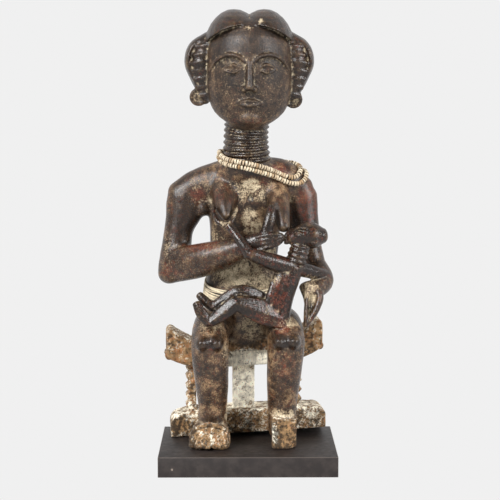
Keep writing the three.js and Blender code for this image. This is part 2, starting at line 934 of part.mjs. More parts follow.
// The outline of the band: an inner edge, and a rib for each string with a groove between ribs
function bandSection() {
  const thick = HIP_STRING_DIAMETER;
  const half = (HIP_STRING_COUNT * thick) / 2;
  const section = [[thick / 2, -half]];
  for (let n = 0; n < HIP_STRING_COUNT; n += 1) {
    section.push([thick, -half + thick * (n + 0.5)]);
    section.push([thick / 2, -half + thick * (n + 1)]);
  }
  section.push([0, half], [0, -half]);
  return section;
}

function hipStrings(surface) {
  const section = bandSection();
  const middle = onGrid([...HIP_MIDDLE, HIP_LEVEL]);
  const dip = Math.tan(THREE.MathUtils.degToRad(HIP_DIP));
  const turn = Math.PI / HIP_STRING_STEPS;
  const reaches = [];
  for (let i = 0; i < 2 * HIP_STRING_STEPS; i += 1) {
    const fall = dip * Math.sin(i * turn) * HIP_DEPTH;
    const starts = section.map(([, rise]) => middle.clone().addScaledVector(Z_AXIS, rise + fall));
    reaches.push(Math.max(...starts.map((start) => reachInside(surface, start, i * turn))));
  }
  return closedTube(HIP_STRING_STEPS, section.length, (i, j) => {
    const near = [-2, -1, 0, 1, 2].map((step) => reaches[(2 * i + step + reaches.length) % reaches.length]);
    const [out, rise] = section[j];
    const reach = Math.max(...near) + STRAND_GAP + out;
    const way = new THREE.Vector3(Math.cos(2 * i * turn), Math.sin(2 * i * turn), 0);
    const fall = dip * way.y * HIP_DEPTH;
    return middle.clone().addScaledVector(way, reach).addScaledVector(Z_AXIS, rise + fall);
  });
}

function plinth() {
  const shape = boxShape(
    -PLINTH_WIDTH / 2 + PLINTH_EDGE,
    PLINTH_WIDTH / 2 - PLINTH_EDGE,
    -PLINTH_DEPTH / 2 + PLINTH_EDGE,
    PLINTH_DEPTH / 2 - PLINTH_EDGE,
  );
  const block = new THREE.ExtrudeGeometry(shape, {
    depth: PLINTH_THICKNESS - 2 * PLINTH_EDGE,
    bevelThickness: PLINTH_EDGE,
    bevelSize: PLINTH_EDGE,
    bevelSegments: 1,
  });
  block.translate(0, 0, PLINTH_EDGE);
  return block;
}

const model = new THREE.Group();
const carving = geometryOf(figure());
const upperStrand = geometryOf(beadStrand(strandLine([carving], UPPER_STRAND)));
const lowerStrand = geometryOf(beadStrand(strandLine([carving, upperStrand], LOWER_STRAND)));
model.add(named("plinth", plinth(), BLACK));
model.add(named("figure", carving, WOOD));
model.add(named("bead_strand_upper", upperStrand, CREAM));
model.add(named("bead_strand_lower", lowerStrand, CREAM));
model.add(named("hip_strings", geometryOf(hipStrings(carving)), STRING));

export default model;
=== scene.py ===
import math

import bpy
import numpy as np
from mathutils import Euler, Matrix, Vector
from mathutils.bvhtree import BVHTree


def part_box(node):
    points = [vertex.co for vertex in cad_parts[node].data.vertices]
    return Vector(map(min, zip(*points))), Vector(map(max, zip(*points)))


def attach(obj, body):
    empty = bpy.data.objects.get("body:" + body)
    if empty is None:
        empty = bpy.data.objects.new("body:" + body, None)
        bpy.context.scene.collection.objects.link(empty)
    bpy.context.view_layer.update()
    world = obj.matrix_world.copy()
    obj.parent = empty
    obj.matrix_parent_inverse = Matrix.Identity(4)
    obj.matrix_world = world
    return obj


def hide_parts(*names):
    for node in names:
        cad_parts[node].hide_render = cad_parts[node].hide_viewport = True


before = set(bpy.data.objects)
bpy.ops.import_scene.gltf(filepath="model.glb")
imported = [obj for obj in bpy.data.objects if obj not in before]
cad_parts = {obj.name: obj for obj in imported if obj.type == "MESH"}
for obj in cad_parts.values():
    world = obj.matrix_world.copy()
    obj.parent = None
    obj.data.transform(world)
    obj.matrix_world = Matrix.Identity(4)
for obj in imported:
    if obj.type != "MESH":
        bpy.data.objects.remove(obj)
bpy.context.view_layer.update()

bl_info = {
    "name": "Carved maternity figure",
    "version": (1, 0, 0),
    "blender": (4, 5, 0),
    "location": "View3D > Sidebar > Carving",
    "description": "Carves and finishes a seated maternity figure with its beads, hip strings and plinth",
    "category": "Add Mesh",
}

# Sizes taken from the frame. The figure is carved on a grid counted from its soles, in steps of a
# share of its height, with x to the viewer's right and y away from the viewer.
MM = 0.001
PLINTH_LOW, PLINTH_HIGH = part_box("plinth")
FIGURE_LOW, FIGURE_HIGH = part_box("figure")
TOUCH_GAP = 0.3 * MM
FLOOR = PLINTH_HIGH.z + TOUCH_GAP
HAIR_TOP = 531.8
STEP = (FIGURE_HIGH.z - FLOOR) / HAIR_TOP

X_AXIS = Vector((1, 0, 0))
Y_AXIS = Vector((0, 1, 0))
Z_AXIS = Vector((0, 0, 1))


def paint(red, green, blue):
    """A colour picker's three values, 0 to 255, as the linear colour that the shaders take."""
    shares = [value / 255 for value in (red, green, blue)]
    return tuple(((share + 0.055) / 1.055) ** 2.4 for share in shares)


def length_property(name, description, default):
    """A length that a user may change, in metres."""
    return bpy.props.FloatProperty(
        name=name, description=description, default=default, min=0, unit="LENGTH", precision=5
    )


def colour_property(name, description, default):
    """A colour that a user may change."""
    return bpy.props.FloatVectorProperty(
        name=name, description=description, default=default, min=0, max=1, size=3, subtype="COLOR"
    )


class CarvingSettings(bpy.types.PropertyGroup):
    """Sizes and colours of the carved wood"""

    mass_voxel: length_property("Mass cell", "Cell size in which the big masses are fused", 2.4 * MM)
    mass_passes: bpy.props.IntProperty(
        name="Mass smoothing", description="Smoothing passes over the big masses", default=12, min=0
    )
    fine_voxel: length_property("Fine cell", "Cell size in which all parts are fused", 1.1 * MM)
    fine_passes: bpy.props.IntProperty(
        name="Fine smoothing", description="Smoothing passes over the whole figure", default=3, min=0
    )
    triangles: bpy.props.IntProperty(
        name="Triangles", description="The most triangles in the finished figure", default=194000, min=1000
    )
    adze_depth: length_property("Adze depth", "How uneven the tool left the wood", 0.6 * MM)
    crust_depth: length_property("Crust depth", "How thick the crust on stool and feet lies", 0.8 * MM)
    dark_wood: colour_property("Dark wood", "Blackened, handled wood", paint(24, 15, 11))
    brown_wood: colour_property("Brown wood", "Wood under the patina", paint(96, 72, 52))
    red_wood: colour_property("Red wood", "Worn places where red wood shows", paint(100, 44, 28))
    orange_wood: colour_property("Orange wood", "Bare wood on the feet", paint(184, 104, 50))
    film: colour_property("Film", "Dusty ochre film", paint(180, 150, 110))
    tan: colour_property("Tan", "Dry brown ground of the crust", paint(152, 120, 82))
    clay: colour_property("Clay", "Pale clay rubbed into the hollows", paint(220, 204, 172))
    lime: colour_property("Lime", "White lime on the stool and the feet", paint(255, 248, 228))
    # Soot colours the crust's dark mottles and pits, and is also the colour of the painted shade in sheltered
    # hollows.
    soot_and_shade: colour_property("Soot", "Dirt in the deepest hollows", paint(24, 18, 14))


class BeadSettings(bpy.types.PropertyGroup):
    """Sizes and colours of the bead strands"""

    diameter: length_property("Bead diameter", "Diameter of a disc bead", 6.4 * MM)
    thickness: length_property("Bead thickness", "Thickness of a disc bead", 3 * MM)
    pitch: length_property("Bead pitch", "Distance from one bead to the next", 3.5 * MM)
    cream: colour_property("Cream", "Clean shell", paint(234, 220, 192))
    tan: colour_property("Tan", "Stained shell", paint(150, 116, 76))
    # Laid on the discs' flat faces, where the beads meet.
    dark_brown: colour_property("Dirt", "Dirt between the beads", paint(56, 38, 26))


class StringSettings(bpy.types.PropertyGroup):
    """Sizes and colours of the hip strings"""

    count: bpy.props.IntProperty(name="Strings", description="Strings round the hips", default=9, min=1)
    diameter: length_property("String diameter", "Thickness of one string", 1.9 * MM)
    fibre: colour_property("Fibre", "Undyed plant fibre", paint(246, 232, 202))
    dark_brown: colour_property("Dirt", "Soiled fibre", paint(110, 82, 54))


class PlinthSettings(bpy.types.PropertyGroup):
    """Sizes and colours of the plinth"""

    edge: length_property("Edge", "How far the plinth's edges are eased", 0.8 * MM)
    black: colour_property("Black", "Matt black paint", paint(27, 19, 17))
    worn: colour_property("Worn", "Rubbed paint on the edges", paint(92, 82, 76))
    scuff: colour_property("Scuff", "Bare board in the small scuff", paint(150, 136, 124))
    scuff_size: length_property("Scuff size", "How far the scuff reaches", 3 * MM)
    scuff_place: bpy.props.FloatVectorProperty(
        name="Scuff place", description="Where the scuff is", size=3, subtype="XYZ", unit="LENGTH",
        default=(-90.4 * MM, -86 * MM, 9.5 * MM),
    )


class StageSettings(bpy.types.PropertyGroup):
    """The camera, the floor and the lights"""

    camera_place: bpy.props.FloatVectorProperty(
        name="Camera place", description="Where the camera stands", size=3, subtype="XYZ", unit="LENGTH",
        default=(-9.74 * MM, -1876.8 * MM, 455.3 * MM),
    )
    camera_pitch: bpy.props.FloatProperty(
        name="Pitch", description="How far the camera looks down", subtype="ANGLE",
        default=math.radians(5.837),
    )
    camera_yaw: bpy.props.FloatProperty(
        name="Yaw", description="How far the camera looks to its right", subtype="ANGLE",
        default=math.radians(0.384),
    )
    lens: bpy.props.FloatProperty(
        name="Lens", description="Focal length", default=110.66, min=1, unit="CAMERA"
    )
    paper: colour_property("Paper", "The glowing floor and backdrop", paint(240, 240, 240))
    room: colour_property("Room", "The dimmer light from all round", paint(160, 158, 156))


SETTINGS = {
    "carving": CarvingSettings,
    "beads": BeadSettings,
    "strings": StringSettings,
    "plinth": PlinthSettings,
    "stage": StageSettings,
}


def settings(name):
    """The values that the scene holds for one group of settings."""
    return getattr(bpy.context.scene, "carving_" + name)


# Making shapes: all are added, extruded, turned and resized with the edit mode's own tools.

TIP_ANGLES = [math.radians(degrees) for degrees in (25, 50, 74)]
TINY = 1e-6


def on_grid(x, y, z):
    """A place on the figure's grid, in metres."""
    return Vector((x * STEP, y * STEP, z * STEP + FLOOR))


def smooth_rows(stations, gap):
    """The stations of a limb, with more filled in along a smooth line so that they lie about gap apart."""
    rows = np.array(stations, float)
    spans = np.linalg.norm(np.diff(rows[:, :3], axis=0), axis=1)
    knots = np.concatenate([[0], np.cumsum(np.sqrt(spans))])
    slopes = np.gradient(rows, knots, axis=0)
    filled = []
    for i, span in enumerate(spans):
        count = max(1, round(span / gap))
        width = knots[i + 1] - knots[i]
        for share in np.arange(count) / count:
            square, cube = share ** 2, share ** 3
            level = rows[i] * (2 * cube - 3 * square + 1) + rows[i + 1] * (3 * square - 2 * cube)
            bend = slopes[i] * (cube - 2 * square + share) + slopes[i + 1] * (cube - square)
            filled.append(level + bend * width)
    filled.append(rows[-1])
    return np.array(filled)


def ring_axes(tangent, depth_axis):
    """The width, depth and length directions of a ring, square to each other."""
    deep = (depth_axis - tangent * depth_axis.dot(tangent)).normalized()
    return deep.cross(tangent), deep, tangent


def rings_along(rows, tip, tangent):
    """Rings (centre, half width, half depth, tangent) along a limb, closing in over its rounded tips."""
    centres = [on_grid(*row[:3]) for row in rows]
    rings = []
    for i, (centre, row) in enumerate(zip(centres, rows)):
        ahead = centres[min(i + 1, len(rows) - 1)] - centres[max(i - 1, 0)]
        rings.append((centre, row[3] * STEP, row[4] * STEP, tangent or ahead.normalized()))
    if not tip:
        return rings

    def closing(ring, way):
        centre, wide, deep, ahead = ring
        reach = ahead * (way * tip * min(wide, deep))
        return [
            (centre + reach * math.sin(a), wide * math.cos(a), deep * math.cos(a), ahead)
            for a in TIP_ANGLES
        ]

    return closing(rings[0], -1)[::-1] + rings + closing(rings[-1], 1)


def turn_selected(rotation, centre):
    """Turns what is selected in edit mode by a rotation matrix about a centre."""
    axis, angle = rotation.to_quaternion().to_axis_angle()
    if abs(angle) < TINY:
        return
    other = axis.orthogonal().normalized()
    third = axis.cross(other)
    bpy.ops.transform.rotate(
        value=angle, orient_axis="Z", orient_type="GLOBAL", orient_matrix=(other, third, axis),
        orient_matrix_type="GLOBAL", constraint_axis=(False, False, True), center_override=centre,
    )


def resize_selected(shares, axes, centre):
    """Resizes what is selected in edit mode along three axes about a centre."""
    bpy.ops.transform.resize(
        value=shares, orient_type="GLOBAL", orient_matrix=axes, orient_matrix_type="GLOBAL",
        center_override=centre,
    )


def start_ring(ring, axes, sides, fill, square):
    """Adds the first ring of a bar and leaves it selected in edit mode."""
    centre, wide, deep, _ = ring
    turn = Matrix(axes).transposed()
    radius = wide
    if square:
        turn = turn @ Matrix.Rotation(math.pi / 4, 3, "Z")
        radius = wide * math.sqrt(2)
    bpy.ops.mesh.primitive_circle_add(
        vertices=sides, radius=radius, fill_type=fill, enter_editmode=True, location=centre,
        rotation=turn.to_euler(),
    )
    resize_selected((1, deep / wide, 1), axes, centre)


def bar_through(rings, depth_axis, sides, fill, square=False):
    """Adds a bar that runs through all the rings, and leaves it in edit mode."""
    all_axes = [ring_axes(ring[3], depth_axis) for ring in rings]
    start_ring(rings[0], all_axes[0], sides, fill, square)
    for i in range(1, len(rings)):
        before, here = rings[i - 1], rings[i]
        bpy.ops.mesh.extrude_region_move(TRANSFORM_OT_translate={"value": tuple(here[0] - before[0])})
        turn_selected(Matrix(all_axes[i]).transposed() @ Matrix(all_axes[i - 1]), here[0])
        resize_selected((here[1] / before[1], here[2] / before[2], 1), all_axes[i], here[0])


def marked(piece, region):
    """Writes on every corner of a piece which region of the figure it belongs to."""
    attributes = piece.data.attributes
    attribute = attributes.get("region") or attributes.new("region", "INT", "POINT")
    attribute.data.foreach_set("value", [REGIONS.index(region)] * len(piece.data.vertices))
    return piece


def limb(region, stations, depth_axis=Y_AXIS, sides=20, gap=4, tip=0.7, swell=None, square=False,
         tangent=None):
    """A rounded bar along a smooth line. A station is (x, y, z, half width, half depth) on the grid."""
    rows = smooth_rows(stations, gap)
    if swell:
        rows[:, 3:] *= swell(np.linspace(0, 1, len(rows)))[:, None]
    bar_through(rings_along(rows, tip, tangent), depth_axis, 4 if square else sides, "NGON", square)
    bpy.ops.object.mode_set(mode="OBJECT")
    return marked(bpy.context.object, region)


LUMP_SEGMENTS, LUMP_RINGS = 24, 14


def lump(region, centre, sizes):
    """A rounded lump: a sphere stretched to three half sizes on the grid."""
    spot = on_grid(*centre)
    bpy.ops.mesh.primitive_uv_sphere_add(
        segments=LUMP_SEGMENTS, ring_count=LUMP_RINGS, radius=STEP, enter_editmode=True, location=spot
    )
    resize_selected(sizes, (X_AXIS, Y_AXIS, Z_AXIS), spot)
    bpy.ops.object.mode_set(mode="OBJECT")
    return marked(bpy.context.object, region)


def hoop(region, centre, radius, thickness, segments, sides):
    """A round hoop that faces ahead, with its radius and half its thickness on the grid."""
    bpy.ops.mesh.primitive_torus_add(
        major_segments=segments, minor_segments=sides, major_radius=radius * STEP,
        minor_radius=thickness * STEP, location=on_grid(*centre), rotation=(math.pi / 2, 0, 0),
    )
    return marked(bpy.context.object, region)


def select_only(pieces):
    """Selects the pieces and makes the first one active."""
    bpy.ops.object.select_all(action="DESELECT")
    for piece in pieces:
        piece.select_set(True)
    bpy.context.view_layer.objects.active = pieces[0]


def joined(name, pieces):
    """Joins pieces in one object that sits at the origin, with its place in its mesh."""
    select_only(pieces)
    if len(pieces) > 1:
        bpy.ops.object.join()
    bpy.ops.object.transform_apply(location=True, rotation=True, scale=True)
    whole = bpy.context.object
    whole.name = name
    whole.data.name = name
    return whole


def modified(piece, kind, **values):
    """Adds a modifier to a piece, sets its values and applies it."""
    select_only([piece])
    bpy.ops.object.modifier_add(type=kind)
    modifier = piece.modifiers[-1]
    for name, value in values.items():
        setattr(modifier, name, value)
    bpy.ops.object.modifier_apply(modifier=modifier.name)


def cut(piece, cutter):
    """Takes the cutter's shape out of a piece."""
    modified(piece, "BOOLEAN", operation="DIFFERENCE", solver="EXACT", object=cutter)
    bpy.data.objects.remove(cutter)
    return piece


def fused(name, pieces, voxel, passes):
    """Fuses overlapping pieces into one skin and smooths the joints."""
    whole = joined(name, pieces)
    modified(whole, "REMESH", mode="VOXEL", voxel_size=voxel)
    if passes:
        modified(whole, "SMOOTH", factor=0.5, iterations=passes)
    return whole


# The regions of the figure, each with its finish: how light the wood is, how much clay lies on it, how
# much crust, how far it is worn to red wood, and how much it shines.
REGION_LOOKS = {
    "body": (0.40, 0.18, 0.0, 0.34, 0.6),
    "arm": (0.32, 0.17, 0.0, 0.34, 0.8),
    "leg": (0.46, 0.15, 0.0, 0.34, 0.85),
    "head": (0.28, 0.18, 0.0, 0.20, 0.25),
    "hair": (0.11, 0.10, 0.0, 0.24, 0.75),
    "neck": (0.06, 0.18, 0.0, 0.24, 1.0),
    "hand": (0.06, 0.12, 0.0, 0.24, 0.95),
    "child": (0.06, 0.10, 0.0, 0.34, 1.0),
    "foot": (0.12, 0.26, 0.95, 0.34, 0.1),
    "seat": (0.44, 0.28, 0.95, 0.42, 0.0),
    "column": (0.82, 1.10, 0.95, 0.20, 0.0),
    "plank": (0.40, 0.40, 0.95, 0.34, 0.0),
}
REGIONS = list(REGION_LOOKS)


# The mother's body

def trunk():
    """The belly, the chest and the shoulders."""
    belly = limb("body", [
        (-5, 38, 118, 40, 28), (-5, 37, 142, 46, 34), (-5, 34, 173, 50, 33), (-6, 33, 194, 47, 29),
        (-5, 33, 216, 42, 27), (-3.5, 33, 249, 43.5, 26), (-3, 32, 280, 46, 29), (-2, 32, 309, 55, 30),
        (-1, 27, 329, 51, 28), (-1, 19, 345, 34, 29), (-1, 17, 352, 27, 27),
    ], sides=28, gap=6, tip=0.3)
    shoulders = limb("body", [
        (-88, 30, 304, 16, 15), (-66, 31, 312.5, 22, 19), (-46, 30, 319, 24, 21), (-30, 31, 322, 25.5, 22),
        (-2, 31, 323, 25, 23),
        (38, 30, 325.5, 25, 21), (53, 31, 316.5, 22.5, 20), (69, 30, 309, 18, 16),
    ], sides=24, gap=6)
    right_breast = limb("body", [
        (-25, 32, 338, 20, 13), (-28, 9, 309, 17.5, 14), (-28, -9, 293, 12.5, 12), (-26, -22, 281, 6.5, 6.5),
    ], gap=4)
    left_breast = limb("body", [
        (32, 32, 335, 19, 13), (37, 9, 305, 15, 13), (40, -9, 286, 12, 11.5), (44, -24, 267, 7.5, 7.5),
    ], gap=4)
    blades = [lump("body", (side * 30 - 2, 47, 292), (19, 11, 24)) for side in (-1, 1)]
    buttocks = [lump("body", (side * 24 - 5, 46, 140), (24, 24, 24)) for side in (-1, 1)]
    return [belly, shoulders, right_breast, left_breast, *blades, *buttocks]


def upper_arms():
    """Both arms from the shoulder to the elbow, and the mother's right forearm across her belly."""
    right = limb("arm", [
        (-77, 30, 304, 23, 18), (-78, 29, 287, 24, 18), (-85, 28, 264, 18.5, 18),
        (-88, 26, 244, 18.5, 18), (-91, 21, 214, 21, 18),
    ], gap=6)
    elbow = lump("arm", (-97, 20, 208), (15, 17, 14))
    armpits = [lump("arm", (-55, 24, 288), (10, 11, 10)), lump("arm", (51, 26, 281), (11, 11, 24))]
    forearm = limb("arm", [
        (-92, 19, 217, 21.5, 18), (-59, -2, 226, 21.5, 18), (-28, -16, 235.5, 18.5, 16),
        (-6, -26, 245, 13.5, 12),
    ], gap=6)
    left = limb("arm", [
        (66, 29, 304, 21, 16), (70, 27, 276, 18.5, 16), (76, 24, 243, 15.5, 17), (84, 18, 216, 14, 17),
    ], gap=6)
    return [right, elbow, *armpits, forearm, left]


LEG_PLACES = ((-1, -46.3, 129, -43), (1, 46.5, 131, 42.3))
KNEE_DROP = 117


def thigh_and_shin(side, knee_x, knee_z, ankle_x):
    """A thigh coming forward from the seat and the shin that drops from the knee."""
    def bent(share):
        return knee_x + (ankle_x - knee_x) * share

    thigh = limb("leg", [
        (side * 32, 32, 147, 27, 22), (knee_x - side * 3, -8, 146, 23.5, 22),
        (knee_x, -34, knee_z + 2, 23.2, 22),
    ], depth_axis=Z_AXIS, sides=24, gap=6, tip=0.4)
    shin = limb("leg", [
        (knee_x, -34, knee_z + 1, 23.4, 20.5), (bent(0.3), -33, knee_z - 23, 22.2, 21.5),
        (bent(0.7), -28, knee_z - 49, 20.8, 19), (ankle_x, -22, knee_z - 76, 18.5, 16),
        (ankle_x, -17, knee_z - KNEE_DROP, 17, 15),
    ], sides=24, gap=6, tip=0.4)
    cap = lump("leg", (knee_x, -32, knee_z + 6), (22, 23, 19))
    return [thigh, shin, cap]


def knee_knobs():
    """Two round knobs, side by side, that swell softly on the front of each knee."""
    return [
        lump("leg", (knee_x + shift, -51.5, knee_z + 2), (8.6, 12.5, 9.4))
        for _, knee_x, knee_z, _ in LEG_PLACES for shift in (-9.2, 9.2)
    ]


NECK_RINGS = 7


def ring_profile(count, swell):
    """A swelling that makes count round rings with narrow grooves between them."""
    def profile(shares):
        return 1 - swell + 2 * swell * np.abs(np.sin(np.pi * count * shares))
    return profile


def neck():
    """The neck, cut into stacked rings."""
    return [limb("neck", [
        (-1.5, 17, 347, 28.5, 27), (-2, 14, 374, 26.2, 24.5), (-1, 12, 394, 26, 24.5),
    ], sides=32, gap=0.8, tip=0, swell=ring_profile(NECK_RINGS, 0.075))]


# Hollows cut in the chest: a shallow one between the breasts, and a small deep one above it.
CHEST_HOLLOWS = (((3, -6, 283), (17, 11, 22)), ((4, -3, 303), (4, 9, 7)))


def hollowed(body):
    """Cuts the chest's hollows into the body."""
    for middle, sizes in CHEST_HOLLOWS:
        cut(body, lump("body", middle, sizes))
    return body


def lap_ledge():
    """The level ledge over the seat's front edge, between the thighs."""
    return [limb("seat", [(-34, 24, 119, 9, 15), (36, 26, 122, 9, 15)], square=True, tip=0, gap=70,
                 tangent=X_AXIS)]


FINGER_COUNT = 4


def right_hand():
    """The mother's right hand: a long palm, a leaf-shaped thumb and four close fingers."""
    palm = limb("hand", [
        (-8, -26, 245, 12.5, 11), (9, -32, 250, 12.5, 9), (22, -34, 253, 11.5, 7), (34, -35, 255, 8.5, 5),
    ], gap=3)
    thumb = limb("hand", [
        (15, -33, 250, 7, 6), (22, -36, 264, 7.2, 5), (27, -34, 282, 6.8, 4.5), (28.5, -28, 296, 3.6, 3.2),
    ], gap=3)
    fingers = []
    for i in range(FINGER_COUNT):
        rise = 5.2 * (i - (FINGER_COUNT - 1) / 2)
        fingers.append(limb("hand", [
            (11, -36, 250 + rise, 3, 4.5), (24, -38.5, 253.5 + rise * 0.95, 3.1, 4.5),
            (35, -39, 255.5 + rise * 0.8, 2.7, 4), (43.5 - abs(rise) * 0.3, -36, 257 + rise * 0.5, 2, 3),
        ], sides=12, gap=3))
    return [palm, thumb, *fingers]


def left_hand():
    """The mother's left forearm and hand, which hangs as a pointed leaf with raised sides."""
    forearm = limb("arm", [
        (86, 16, 216, 13, 16), (92, 4, 201, 14, 15), (85, -10, 193, 12, 13), (78, -20, 191, 9, 10),
    ], gap=4)
    elbow = lump("arm", (93, 2, 201), (13, 14, 13))
    fingers = limb("arm", [
        (84, -17, 194, 7, 9), (87, -25, 182, 5.2, 7), (81, -30, 166, 4.5, 6), (70, -34, 150, 3.2, 5),
    ], sides=14, gap=3)
    thumb = limb("arm", [
        (74, -18, 194, 6, 8), (71.5, -26, 182, 2.8, 6), (70.5, -32, 166, 2.8, 6), (70, -34, 150, 3, 5),
    ], sides=14, gap=3)
    palm = limb("arm", [
        (74, -16, 197, 12, 8), (77, -20, 184, 10, 4), (76.5, -25, 170, 8, 3), (72, -30, 157, 3.5, 2.5),
    ], gap=3)
    return [forearm, elbow, fingers, thumb, palm]


FOOT_X, FOOT_WIDTH = -46.6, 51
# The toes' middles as shares of the foot's width: three in the outer half and two in the inner half.
TOE_PLACES = (-0.4, -0.23, -0.06, 0.17, 0.37)


def whole_foot():
    """The broad foot: an arched rim over toes that run down to the ground, parted by one deep cleft."""
    sole = limb("foot", [
        (-44, 14, 14, 15, 13), (-44, -8, 18, 19, 17), (-46, -28, 16, 24, 14.5), (-46.5, -37, 13, 24, 13),
    ], depth_axis=Z_AXIS, gap=4, tip=0.5)
    halves = [lump("foot", (-58, -34, 11), (14, 18, 17)), lump("foot", (-33, -34, 11), (12, 18, 17))]
    rim = limb("foot", [
        (-70, -36, 13, 2.2, 4), (-64, -43, 24, 2.4, 4), (-46.5, -46, 31, 2.4, 4.5), (-29, -43, 24, 2.4, 4),
        (-23, -36, 13, 2.2, 4),
    ], sides=12, gap=3)
    toes = []
    for share in TOE_PLACES:
        back = share ** 2
        toes.append(limb("foot", [
            (FOOT_X + share * 30, -43 + back * 20, 26 - back * 30, 3.6, 4),
            (FOOT_X + share * 45, -50 + back * 40, 16 - back * 16, 5, 5.5),
            (FOOT_X + share * FOOT_WIDTH, -52 + back * 52, 4.5, 5.4, 6),
        ], sides=14, gap=3, tip=0.6))
    return [sole, *halves, rim, *toes]


# The stump's broken faces: a point on each, and how the face is turned from facing straight ahead.
BREAKS = (((44, -47, 18), (5, 3, 5)), ((32.5, -44, 20), (-4, 6, -46)), ((58, -46, 30), (12, -14, 40)))
BREAK_SIZE = 120


def broken_foot():
    """The stump of the other foot, whose toes are broken off along rough faces."""
    heel = limb("foot", [(44, 20, 16, 13, 16), (44, -8, 18, 14, 18), (44, -24, 18, 14.5, 18.5)],
                depth_axis=Z_AXIS, gap=5, tip=0.3)
    stump = limb("foot", [(44, -18, 19.5, 14.5, 18.5), (44, -40, 19, 14.8, 18.5), (44, -75, 18, 14.8, 18)],
                 depth_axis=Z_AXIS, square=True, gap=6, tip=0)
    for spot, turn in BREAKS:
        turned = Euler([math.radians(degrees) for degrees in turn])
        ahead = turned.to_matrix() @ -Y_AXIS
        middle = on_grid(*spot) + ahead * BREAK_SIZE / 2 * STEP
        bpy.ops.mesh.primitive_cube_add(size=BREAK_SIZE * STEP, location=middle, rotation=turned)
        cut(stump, bpy.context.object)
    return [heel, marked(stump, "foot")]


# The head. Its face is laid out on the usual thirds: the brow, the base of the nose and the chin stand
# a third of the face's height apart below the hairline.
HEAD_X = 2
CHIN = 393
HAIRLINE = 506
FACE_FRONT = -44
THIRD = (HAIRLINE - CHIN) / 3
BROW = HAIRLINE - THIRD
NOSE_BASE = BROW - THIRD
EYE_LINE = BROW - THIRD / 4
MOUTH_LINE = NOSE_BASE - THIRD / 3
EYE_OFFSET = 21


def skull():
    """The head's egg shape."""
    return limb("head", [
        (HEAD_X, 7, 398, 27, 28), (HEAD_X, 3, 409, 43, 39), (HEAD_X, 2, 432, 50.5, 44.5),
        (HEAD_X, 4, 462, 53, 48), (HEAD_X, 6, 487, 50, 47), (HEAD_X, 11, 500, 36, 40),
    ], sides=36, gap=4, tip=0.3)


def brow_arch(side):
    """A brow, which arches out from the nose and down to the temple."""
    return limb("head", [
        (HEAD_X + side * 5, FACE_FRONT + 2, BROW - 2, 2.2, 3),
        (HEAD_X + side * 13, FACE_FRONT, BROW + 5, 2.4, 3.6),
        (HEAD_X + side * 26, FACE_FRONT + 4, BROW + 7, 2.4, 3.8),
        (HEAD_X + side * 39, FACE_FRONT + 13, BROW + 1, 2.2, 3.6),
        (HEAD_X + side * 47, FACE_FRONT + 25, BROW - 10, 1.6, 3),
    ], sides=12, gap=3)


def eye_parts(side):
    """A half-closed almond eye: a ball between two lids."""
    x = HEAD_X + side * EYE_OFFSET
    ball = lump("head", (x, FACE_FRONT + 6, EYE_LINE), (8.5, 6, 4.8))
    lids = []
    for rise in (1, -1):
        lids.append(limb("head", [
            (x - 11.5, FACE_FRONT + 4.5, EYE_LINE - 0.6, 1.4, 2),
            (x, FACE_FRONT + 0.8, EYE_LINE + rise * 4.6, 1.9, 3),
            (x + 11.5, FACE_FRONT + 4.5, EYE_LINE - 0.6, 1.4, 2),
        ], sides=10, gap=2))
    return [ball, *lids]


def nose_and_mouth():
    """A straight nose with small wings, and a closed mouth with two lips."""
    bridge = limb("head", [
        (HEAD_X, FACE_FRONT + 3, BROW - 1, 4.2, 5),
        (HEAD_X, FACE_FRONT - 1, (BROW + NOSE_BASE) / 2, 4.6, 6.5),
        (HEAD_X, FACE_FRONT - 3.5, NOSE_BASE + 5, 6, 8),
    ], sides=16, gap=3, tip=0.5)
    wings = [lump("head", (HEAD_X + side * 6, FACE_FRONT, NOSE_BASE + 4), (4, 6, 4)) for side in (-1, 1)]
    lips = []
    for rise in (2.1, -2.1):
        lips.append(limb("head", [
            (HEAD_X - 15, FACE_FRONT + 6, MOUTH_LINE - 0.5, 1, 1.5),
            (HEAD_X - 6, FACE_FRONT + 1.5, MOUTH_LINE + rise * 1.1, 2.1, 3.6),
            (HEAD_X + 6, FACE_FRONT + 1.5, MOUTH_LINE + rise * 1.1, 2.1, 3.6),
            (HEAD_X + 15, FACE_FRONT + 6, MOUTH_LINE - 0.5, 1, 1.5),
        ], sides=12, gap=2))
    chin = lump("head", (HEAD_X, FACE_FRONT + 13, CHIN + 8), (13, 8, 8))
    return [bridge, *wings, *lips, chin]


def ear(side):
    """An ear that stands out as a small cup."""
    x = HEAD_X - 4 + side * 58
    z = 424 - 1.5 * side
    rim = hoop("head", (x, 9, z), radius=8.6, thickness=2.6, segments=32, sides=14)
    bowl = lump("head", (x, 13, z), (10, 6, 10))
    root = lump("head", (x - side * 8, 13, z + 2), (8, 9, 11))
    return [rim, bowl, root]


RIDGE_COUNT = 7
RIDGE_LOW, RIDGE_HIGH = 429, 487
# The core of a roll of hair: how far out it stands, its height, half width and half depth.
ROLL_CORE = ((50, 427, 9, 14), (56, 449, 14, 20), (58, 470, 16, 23), (52, 488, 15, 21))


